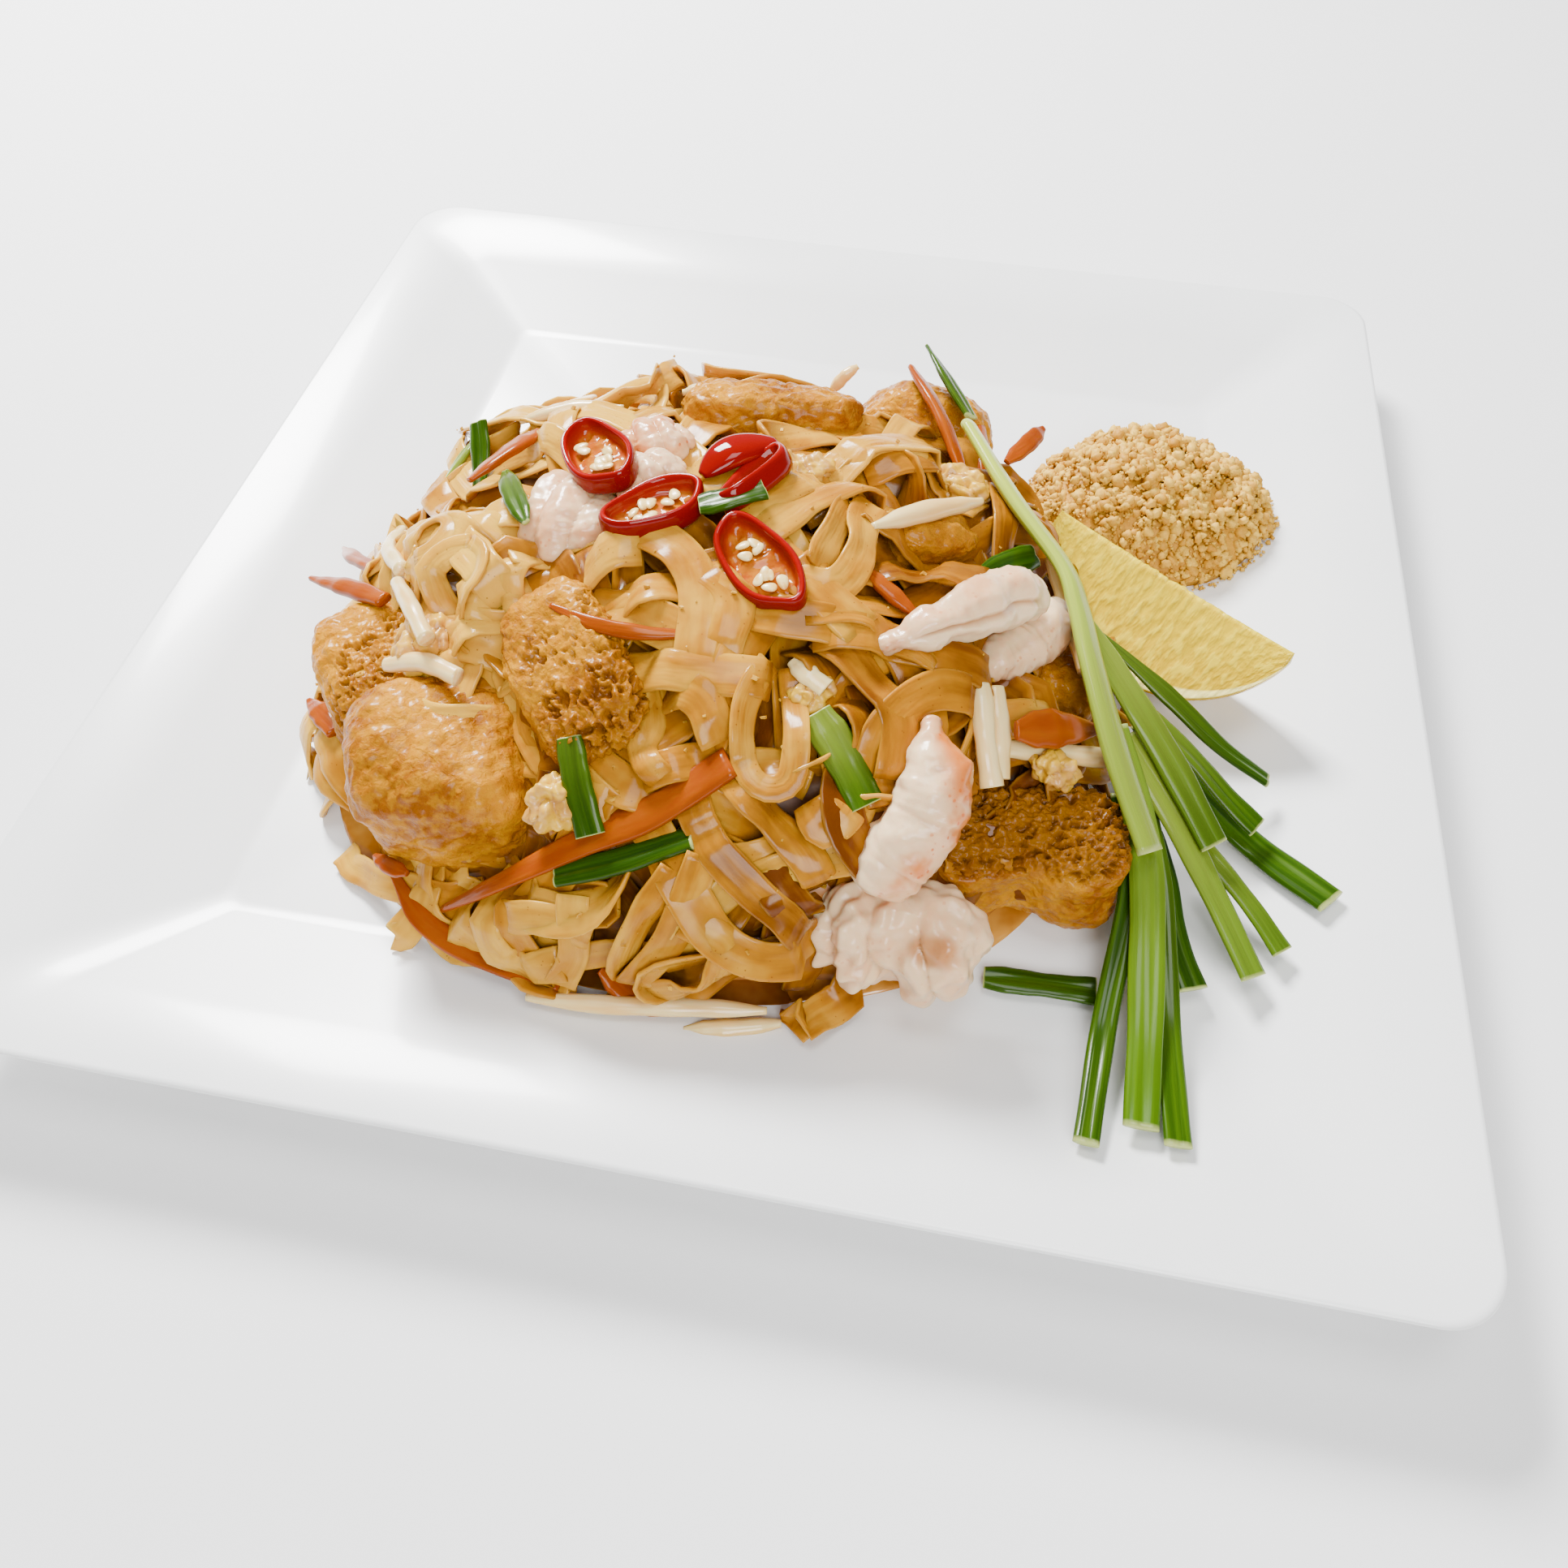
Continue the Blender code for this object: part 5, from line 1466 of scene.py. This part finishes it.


# Noodles on listed routes, lowest first: route over the dome (millimetres right of its top and away
# from the diner), share of the usual width, roll along the way in degrees, tone, and lift.
HAND_LAID = [
    ([(22, -29), (32, -38), (37, -45), (39, -55)], 0.95, (10, 25, 10), 0.7, 0),
    ([(26, -27), (35, -34), (41, -40), (43, -51)], 1.0, (0, 20, 35), 0.75, 0),
    ([(28, 2), (43, 2), (55, 7)], 0.8, (60, 50, 30), 0.8, 0),
    ([(28, -13), (40, -8), (57, -2)], 1.0, (10, 30, 30), 0.85, 0),
    ([(24, -28), (36, -25), (48, -25), (62, -24)], 1.05, (0, 10, 15), 0.7, 1),
    ([(22, -26), (32, -23), (46, -28)], 0.6, (60, 60, 60), 0.6, 1.5),
    ([(2, -24), (10, -26), (18, -27), (28, -26)], 1.1, (0, -10, 0), 0.5, 0),
    ([(-2, -64), (6, -60), (17, -55)], 0.9, (0, 0, 10), 0.45, 0),
    ([(0, -46), (8, -47), (13, -54)], 1.0, (0, 15, 40), 0.5, 0),
    ([(-4, -45), (-1, -53), (-1, -59), (7, -66)], 0.75, (0, 60, 20, -60), 0.35, 0),
    ([(-13, -65), (-6, -70), (1, -69), (7, -63)], 0.9, (30, 50, 50, 60), 0.12, 1),
    ([(43, -56), (39, -47), (41, -39), (48, -32), (61, -30)], 1.0, (-30, -40, -20, 0), 0.65, 2),
    ([(66, -33), (65, -46), (66, -64)], 1.0, (0, 0, 10), 0.45, 2),
    ([(15, -58), (24, -65), (32, -70), (38, -77)], 0.95, (40, 10, -20), 0.5, 0),
    ([(7, -61), (14, -72), (24, -79), (32, -83), (38, -90)], 0.9, (0, 10, 30, 40), 0.7, 1),
    ([(1, -71), (12, -83), (19, -90), (28, -92), (39, -88)], 1.05, (10, 20, 30, 50), 0.4, 1),
    ([(9, -79), (2, -93), (-2, -105)], 0.8, (60, 70, 60), 0.35, 1),
    ([(14, -75), (10, -92), (2, -105), (-2, -114)], 0.9, (50, 70, 50), 0.4, 1),
    ([(12, -88), (21, -91), (18, -101), (6, -107)], 0.9, (20, 60, 60, 10), 0.3, 1),
    ([(-11, -87), (-11, -99), (-15, -107), (-18, -116)], 0.8, (0, 60, 60, 0), 0.08, 1),
    ([(-27, -85), (-31, -95), (-26, -104), (-14, -102)], 0.95, (0, 10, 40, 40), 0.05, 1),
    ([(-49, -85), (-43, -95), (-33, -104)], 1.15, (0, 0, 10), 0.1, 0),
    ([(-58, -81), (-52, -91), (-60, -101)], 0.9, (0, 20, 40), 0.1, 0),
    ([(-28, -93), (-17, -92), (-7, -95)], 0.9, (0, 10, 0), 0.3, 0),
    ([(30, -60), (34, -64), (38, -56)], 0.9, (0, 20, 0), 0.3, 0),
    ([(18, -36), (16, -47), (18, -57), (22, -60), (26, -57), (25, -47), (22, -35)], 0.66,
     (0, 10, 40, 60, 30, 0, -10), 0.35, 2),
    ([(1, -19), (10, -26), (10, -39)], 1.0, (0, 30, 0), 0.5, 0),
    ([(-20, -27), (-11, -28), (1, -24)], 1.1, (0, 10, 0), 0.3, 0),
    ([(-15, -11), (-5, -15), (2, -22), (5, -31), (6, -41)], 1.05, (0, 0, 20, 10, 0), 0.3, 1),
    ([(-13, -42), (4, -43), (19, -40)], 1.05, (0, 0, 0), 0.42, 3),
    ([(-35, -25), (-22, -21), (-9, -16)], 1.15, (0, 0, 5), 0.12, 0),
    ([(-35, -17), (-25, -9), (-13, -3)], 1.1, (0, 10, 0), 0.1, 1),
    ([(-21, -2), (-31, -11), (-33, -22), (-35, -28), (-43, -30), (-45, -38), (-37, -43), (-30, -40),
      (-31, -33)], 0.8, (0, 20, 40, 70, 70, 80, 80, 60, 40), 0.12, 1),
    ([(-56, -8), (-48, -12), (-42, -16)], 1.1, (0, 0, 0), 0.12, 1),
    ([(-46, -15), (-40, -20), (-34, -26)], 1.1, (0, 10, 0), 0.1, 2),
    ([(28, 9), (25, -4), (22, -15)], 0.8, (40, 70, 70), 0.45, 0),
    ([(34, 14), (30, 3), (30, -9), (26, -18), (17, -18)], 0.9, (0, 20, 50, 70), 0.35, 1),
    ([(12, -9), (20, 2), (27, 10), (39, 14)], 1.0, (10, 20, 30), 0.35, 1),
    ([(17, 11), (27, 25), (38, 33), (49, 33)], 1.2, (0, 20, 10), 0.3, 1),
    ([(5, -6), (15, 6), (22, 19), (30, 28), (42, 30), (53, 25)], 1.1, (0, 20, 30, 20, 0), 0.22, 2),
    ([(13, -11), (22, -19), (32, -26)], 1.15, (10, 0, 0), 0.42, 2),
    (curl(-61, -19, 4.5, 0.1, 1.1), 0.7, (85, 85), 0.2, 4),
    (curl(-55, -12, 6.5, 0.7, -0.95), 0.8, (80, 85), 0.15, 3),
    (curl(-44, -23, 6.0, 0.2, 1.0), 0.8, (75, 85), 0.2, 4),
    (curl(-82, -20, 8.0, 0.3, 1.0), 0.8, (70, 80), 0.02, 3),
]


def noodle_roof(low, high, covered):
    """How high noodles may lie: under a thin topping, or within a thick one but well below its top.

    The roof is then lowered from each cell to its neighbours, by a fixed rise for each cell.
    """
    under = np.where(high - low < 5, low - 0.5, np.maximum((low + high) / 2, high - 7))
    roof = np.where(covered, under, OPEN_SKY)
    for _ in range(4):
        for axis in (0, 1):
            for side in (-1, 1):
                roof = np.minimum(roof, np.roll(roof, side, axis) + 1.4)
    return roof


def add_noodle(batches, number, laid, wide, thickness, tone, cup):
    """Adds one laid noodle to its batch, with its share across, its length so far and its tone."""
    line, normal, roll = laid
    rows, around = len(line), len(BAND)
    along = np.concatenate([[0], np.cumsum(np.linalg.norm(np.diff(line, axis=0), axis=1))])
    batches[number % len(batches)].add(
        band_rings(line, normal, wide, thickness, roll, cup), tube_quads(rows, around),
        across=np.tile(BAND_ACROSS, rows), along=np.repeat(along, around),
        tone=np.repeat(np.clip(tone, 0, 1), around), seed=number * 1.7)


def lay_random(sizes, draw, pile, inner, batches, width, thickness):
    """Lays noodles one by one, each on the best of a few random routes, until the heap is full."""
    for number in range(sizes.noodle_count):
        if pile.top[inner].mean() > FULL_AT:
            break
        best = None
        for _ in range(sizes.noodle_tries):
            flat, far = random_route(draw)
            level = pile.top[pile.cells(flat)]
            blocked = np.maximum(level + 1 - pile.roof[pile.cells(flat)], 0)
            cost = level.mean() + 0.35 * level.max() + 0.05 * far + 1.5 * blocked.mean()
            if best is None or cost < best[0]:
                best = (cost, flat)
        flat = best[1]
        count = len(flat)
        t = np.linspace(0, 1, count)
        wide = width * draw.uniform(0.82, 1.12) * (1 + 0.05 * np.sin(t * 17 + number))
        heading = np.unwrap(np.arctan2(*np.gradient(flat, axis=0).T[::-1]))
        bend = soften(np.gradient(heading) / ROUTE_STEP, 4)
        roll = np.clip(bend * 8, -1.2, 1.2)
        roll = roll + 0.25 * np.sin(t * draw.uniform(3, 9) + draw.uniform(0, TURN))
        if draw.uniform() < 0.15:
            at = draw.uniform(0.2, 0.8)
            way = draw.choice([-1, 1])
            roll = roll + way * math.pi * ease((t - at) * count * ROUTE_STEP / 36 + 0.5)
        laid = lay(pile, flat, wide, thickness, roll)
        # Painted shade: the deeper a noodle lies, the darker its tone.
        tone = tone_with_painted_light_at(laid[0]) + draw.normal() * 0.18 - 0.03 * pile_depth(laid[0])
        add_noodle(batches, number, laid, wide, thickness, tone, draw.uniform(-0.6, 0.6))


def lay_by_hand(draw, pile, batches, width, thickness):
    """Lays the noodles whose routes are given, over the random ones."""
    for index, (route, share, rolls, tone, lift) in enumerate(HAND_LAID):
        length = np.linalg.norm(np.diff(np.array(route, float), axis=0), axis=1).sum()
        flat = even_route(route, max(int(length / 1.5), 14))
        t = np.linspace(0, 1, len(flat))
        wide = width * share * (1 + 0.04 * np.sin(t * 13 + index))
        roll = soften(np.interp(t, np.linspace(0, 1, len(rolls)), np.radians(rolls)), 12)
        laid = lay(pile, flat, wide, thickness, roll, 8, lift)
        add_noodle(batches, HAND_LAID_FROM + index, laid, wide, thickness,
                   tone_with_painted_light_at(laid[0]) * 0.3 + tone * 0.7, draw.uniform(-0.5, 0.5))


def make_strays(sizes, draw, pile, covered):
    """Peanut crumbs strewn over the noodles, none on the toppings."""
    crumbs = Batch()
    spots = draw.uniform(-105, 105, (520, 2))
    spots = spots[(np.hypot(*spots.T) < HELD_FROM) & ~covered[pile.cells(spots)]]
    place, _, _, normal = heap_frame(spots)
    place = place + normal * pile.top[pile.cells(spots)][:, None]
    scatter(crumbs, place, normal, 0.5, 2.0, 97, 1, draw.uniform(0.5, 1, len(spots)), 0.7)
    crumbs.piece("noodle_crumbs", nut_finish(sizes), "noodle", smooth=False)


def make_sauce(angle):
    """A film of sauce round the heap's foot: rings out to a wavy edge, thinning off at that edge."""
    rings = np.linspace(0.02, 1, 40)[:, None]
    edge = FOOT_REACH - 11 + 2.5 * np.sin(angle * 3 + 1) + 1.5 * np.sin(angle * 7)
    place = heap_frame(np.stack([rings * edge * np.cos(angle), rings * edge * np.sin(angle)], -1))[0]
    place[..., 2] = plate_top(place[..., 0], place[..., 1]) + 0.5 * np.sqrt(1.02 - rings**8)
    low = place[-1:].copy()
    low[..., 2] -= 0.05
    single("foot_sauce", sauce_finish(), "noodle", ["noodle_heap"],
           np.concatenate([place, low]), tube_quads(len(rings) + 1, angle.shape[1]))


def make_core(sizes, angle):
    """The dome sunk below the loose noodles, unevenly, as what shows between them."""
    rings = np.linspace(0.02, FOOT_REACH, 60)[:, None]
    flat = np.stack([rings * np.cos(angle), rings * np.sin(angle)], -1)
    place, _, _, normal = heap_frame(flat)
    sunk = sizes.noodle_depth + 0.4 + 1.2 * waves(place.reshape(-1, 3), 12, 7).reshape(place.shape[:2])
    core = place - normal * sunk[..., None]
    core[..., 2] = np.maximum(core[..., 2], WELL_FLOOR + 0.3)
    single("noodle_core", core_finish(), "noodle", ["noodle_heap"],
           core, tube_quads(len(rings), angle.shape[1])[:, ::-1])


def make_noodles(sizes):
    """Flat rice noodles over a smaller core, round the toppings, with sauce and crumbs."""
    draw = np.random.default_rng(sizes.noodle_seed)
    pile = Pile(-sizes.noodle_depth)
    reach = np.hypot(pile.grid[..., 0], pile.grid[..., 1])
    pile.top *= np.clip((FOOT_REACH - reach) / 14, 0, 1)
    groups = (TOFU, PRAWNS, PRAWN_LUMPS, CHILLI, EGG, ("chilli_3",), CHIVES, CARROTS, SPROUTS,
              CARROT_BITS, SPROUT_BITS, EGG_BITS)
    low, high = topping_heights(pile, [name for group in groups for name in group])
    covered = high > -OPEN_SKY / 2
    pile.roof = noodle_roof(low, high, covered)
    inner = (reach < FOOT_REACH - 8) & ~covered
    batches = [Batch() for _ in range(sizes.noodle_batches)]
    width, thickness = sizes.noodle_width / MM, sizes.noodle_thickness / MM
    lay_random(sizes, draw, pile, inner, batches, width, thickness)
    pile.top = np.where(covered, np.maximum(pile.top, np.minimum(high, 14.0)), pile.top)
    lay_by_hand(draw, pile, batches, width, thickness)
    finish = noodle_finish(sizes)
    for number, batch in enumerate(batches, 1):
        batch.piece(f"noodles_{number}", finish, "noodle", ["noodle_heap"])
    make_strays(sizes, draw, pile, covered)
    angle = np.linspace(0, TURN, 120, endpoint=False)[None]
    make_sauce(angle)
    make_core(sizes, angle)


# ---------------------------------------------------------------- stage


def make_stage(sizes):
    """Pale floor, wide soft lights and the camera."""
    mesh = bpy.data.meshes.new("floor")
    half = 3.0
    corners = [(-half, -half, 0), (half, -half, 0), (half, half, 0), (-half, half, 0)]
    mesh.from_pydata(corners, [], [(0, 1, 2, 3)])
    mesh.materials.append(floor_finish())
    floor = bpy.data.objects.new("floor", mesh)
    floor.location.z = -0.0005
    bpy.context.scene.collection.objects.link(floor)
    for name, place, size, power in (
        ("window", (-0.55, 0.75, 0.85), 0.36, sizes.window_power),
        ("sky", (0.1, 0.0, 1.3), 0.5, sizes.sky_power),
        ("fill", (0.35, -0.9, 0.9), 0.6, sizes.fill_power),
    ):
        light = bpy.data.lights.new(name, "AREA")
        light.shape = "SQUARE"
        light.size = size
        light.energy = power
        lamp = bpy.data.objects.new(name, light)
        lamp.location = place
        lamp.rotation_mode = "QUATERNION"
        lamp.rotation_quaternion = (Vector(place) - Vector((0, 0, 0.03))).to_track_quat("Z", "Y")
        bpy.context.scene.collection.objects.link(lamp)
    world = bpy.data.worlds.new("studio")
    world.use_nodes = True
    backdrop = world.node_tree.nodes["Background"]
    backdrop.inputs["Color"].default_value = (1.0, 1.0, 1.0, 1.0)
    backdrop.inputs["Strength"].default_value = sizes.room_light
    bpy.context.scene.world = world
    eye = bpy.data.cameras.new("camera")
    eye.lens = CAMERA_LENS
    eye.sensor_width = 36.0
    eye.clip_start = 0.01
    camera = bpy.data.objects.new("camera", eye)
    camera.location = CAMERA_PLACE
    camera.rotation_mode = "QUATERNION"
    camera.rotation_quaternion = (Vector(CAMERA_AIM) - Vector(CAMERA_PLACE)).to_track_quat("-Z", "Y")
    bpy.context.scene.collection.objects.link(camera)
    bpy.context.scene.camera = camera


# ---------------------------------------------------------------- add-on


def length(name, words, default):
    """A length that a user may change."""
    return bpy.props.FloatProperty(name=name, description=words, default=default, min=0.0,
                                   unit="LENGTH")


def colour(name, words, default):
    """A colour that a user may change."""
    return bpy.props.FloatVectorProperty(name=name, description=words, default=default, subtype="COLOR",
                                         size=3, min=0.0, max=1.0)


def whole(name, words, default):
    """A whole number that a user may change."""
    return bpy.props.IntProperty(name=name, description=words, default=default, min=1)


def amount(name, words, default):
    """A plain amount that a user may change."""
    return bpy.props.FloatProperty(name=name, description=words, default=default, min=0.0)


class PadThaiSettings(bpy.types.PropertyGroup):
    """Sizes and colours of the dish."""

    noodle_width: length("Noodle width", "Width of one flat noodle", 0.008)
    noodle_thickness: length("Noodle thickness", "Thickness of one flat noodle", 0.0011)
    noodle_depth: amount("Noodle depth", "Depth of loose noodles over the core, in millimetres", 9.0)
    noodle_count: whole("Noodles", "How many noodles are laid at random", 250)
    noodle_tries: whole("Tries", "Routes tried for each noodle", 9)
    noodle_batches: whole("Batches", "Pieces that the noodles are shared among", 3)
    noodle_seed: whole("Seed", "Start of the noodles' random draws", 5)
    # The pale end is also reached by painted light at the back left, the dark end by painted shade deep
    # in the pile and at the front right.
    noodle_pale: colour("Noodle, pale", "Least sauced noodle", (0.66, 0.36, 0.035))
    noodle_middle: colour("Noodle, middle", "Sauced noodle", (0.4, 0.152, 0.002))
    noodle_dark: colour("Noodle, dark", "Most sauced noodle", (0.12, 0.028, 0.0))
    tofu_gold: colour("Tofu, gold", "Fried skin", (0.5, 0.195, 0.0))
    tofu_brown: colour("Tofu, brown", "Darker fried skin", (0.24, 0.066, 0.0))
    prawn_white: colour("Prawn, white", "Cooked flesh", (0.84, 0.6, 0.35))
    prawn_pink: colour("Prawn, pink", "Blush on the back", (0.62, 0.16, 0.012))
    chilli_skin: colour("Chilli skin", "Outside of the chilli", (0.2, 0.0, 0.0))
    green_deep: colour("Green, deep", "Darkest chive", (0.008, 0.034, 0.0))
    green_bright: colour("Green, bright", "Yellowest chive", (0.06, 0.14, 0.0))
    green_pale: colour("Green, pale", "Palest stalk", (0.6, 0.7, 0.08))
    carrot_orange: colour("Carrot", "Carrot shreds", (0.25, 0.04, 0.0))
    egg_yellow: colour("Egg", "Scrambled egg", (0.7, 0.4, 0.01))
    lemon_pale: colour("Lemon, pale", "Flesh near the edge", (0.66, 0.46, 0.0))
    lemon_yellow: colour("Lemon, yellow", "Flesh near the pith", (0.52, 0.33, 0.0))
    nut_pale: colour("Peanut, pale", "Palest crumb", (0.78, 0.48, 0.06))
    nut_tan: colour("Peanut, tan", "Darkest crumb", (0.5, 0.23, 0.005))
    window_power: amount("Window", "Power of the light from the back left, in watts", 58.0)
    sky_power: amount("Sky", "Power of the light from above, in watts", 8.0)
    fill_power: amount("Fill", "Power of the light from the front, in watts", 17.0)
    room_light: amount("Room", "Strength of the even light all round", 0.35)


def settings():
    """The scene's own sizes and colours."""
    return bpy.context.scene.pad_thai


class PADTHAI_OT_plate(bpy.types.Operator):
    """Makes the square glazed plate"""

    bl_idname = "pad_thai.plate"
    bl_label = "Plate"

    def execute(self, context):
        make_plate()
        return {"FINISHED"}


class PADTHAI_OT_tofu(bpy.types.Operator):
    """Makes the pieces of fried tofu"""

    bl_idname = "pad_thai.tofu"
    bl_label = "Tofu"

    def execute(self, context):
        make_tofu(settings())
        return {"FINISHED"}


class PADTHAI_OT_prawns(bpy.types.Operator):
    """Makes the prawns"""

    bl_idname = "pad_thai.prawns"
    bl_label = "Prawns"

    def execute(self, context):
        make_prawns(settings())
        return {"FINISHED"}


class PADTHAI_OT_chilli(bpy.types.Operator):
    """Makes the chilli slices and their seeds"""

    bl_idname = "pad_thai.chilli"
    bl_label = "Chilli"

    def execute(self, context):
        make_chilli(settings())
        return {"FINISHED"}


class PADTHAI_OT_greens(bpy.types.Operator):
    """Makes the chives, whole and cut"""

    bl_idname = "pad_thai.greens"
    bl_label = "Chives"

    def execute(self, context):
        make_greens(settings())
        return {"FINISHED"}


class PADTHAI_OT_shreds(bpy.types.Operator):
    """Makes the carrot shreds, bean sprouts and egg"""

    bl_idname = "pad_thai.shreds"
    bl_label = "Carrot, sprouts and egg"

    def execute(self, context):
        make_carrots(settings())
        make_sprouts()
        make_egg(settings())
        return {"FINISHED"}


class PADTHAI_OT_lemon(bpy.types.Operator):
    """Makes the lemon wedge"""

    bl_idname = "pad_thai.lemon"
    bl_label = "Lemon"

    def execute(self, context):
        make_lemon(settings())
        return {"FINISHED"}


class PADTHAI_OT_peanuts(bpy.types.Operator):
    """Makes the heap of crushed peanut"""

    bl_idname = "pad_thai.peanuts"
    bl_label = "Crushed peanut"

    def execute(self, context):
        make_peanuts(settings())
        return {"FINISHED"}


class PADTHAI_OT_noodles(bpy.types.Operator):
    """Lays the noodles round the toppings that are there"""

    bl_idname = "pad_thai.noodles"
    bl_label = "Noodles"

    def execute(self, context):
        if "piece_tofu_front" not in bpy.data.objects:
            raise RuntimeError("make the toppings before the noodles")
        make_noodles(settings())
        return {"FINISHED"}


class PADTHAI_OT_stage(bpy.types.Operator):
    """Makes the floor, the lights and the camera"""

    bl_idname = "pad_thai.stage"
    bl_label = "Stage"

    def execute(self, context):
        make_stage(settings())
        return {"FINISHED"}


OPERATORS = (PADTHAI_OT_plate, PADTHAI_OT_tofu, PADTHAI_OT_prawns, PADTHAI_OT_chilli,
             PADTHAI_OT_greens, PADTHAI_OT_shreds, PADTHAI_OT_lemon, PADTHAI_OT_peanuts,
             PADTHAI_OT_noodles, PADTHAI_OT_stage)


class PADTHAI_PT_panel(bpy.types.Panel):
    """Lists the pieces of the dish"""

    bl_idname = "PADTHAI_PT_panel"
    bl_label = "Pad Thai"
    bl_space_type = "VIEW_3D"
    bl_region_type = "UI"
    bl_category = "Pad Thai"

    def draw(self, context):
        column = self.layout.column()
        for operator in OPERATORS:
            column.operator(operator.bl_idname)
        for name in PadThaiSettings.__annotations__:
            column.prop(context.scene.pad_thai, name)


def register():
    """Registers the classes and the scene's settings."""
    for kind in (PadThaiSettings, *OPERATORS, PADTHAI_PT_panel):
        bpy.utils.register_class(kind)
    bpy.types.Scene.pad_thai = bpy.props.PointerProperty(type=PadThaiSettings)


def unregister():
    """Removes what register added."""
    del bpy.types.Scene.pad_thai
    for kind in reversed((PadThaiSettings, *OPERATORS, PADTHAI_PT_panel)):
        bpy.utils.unregister_class(kind)


def main():
    """Makes every piece in order."""
    register()
    make_groups()
    steps = bpy.ops.pad_thai
    for step in (steps.plate, steps.tofu, steps.prawns, steps.chilli, steps.greens, steps.shreds,
                 steps.lemon, steps.peanuts, steps.noodles, steps.stage):
        step()


if __name__ == "__main__":
    main()
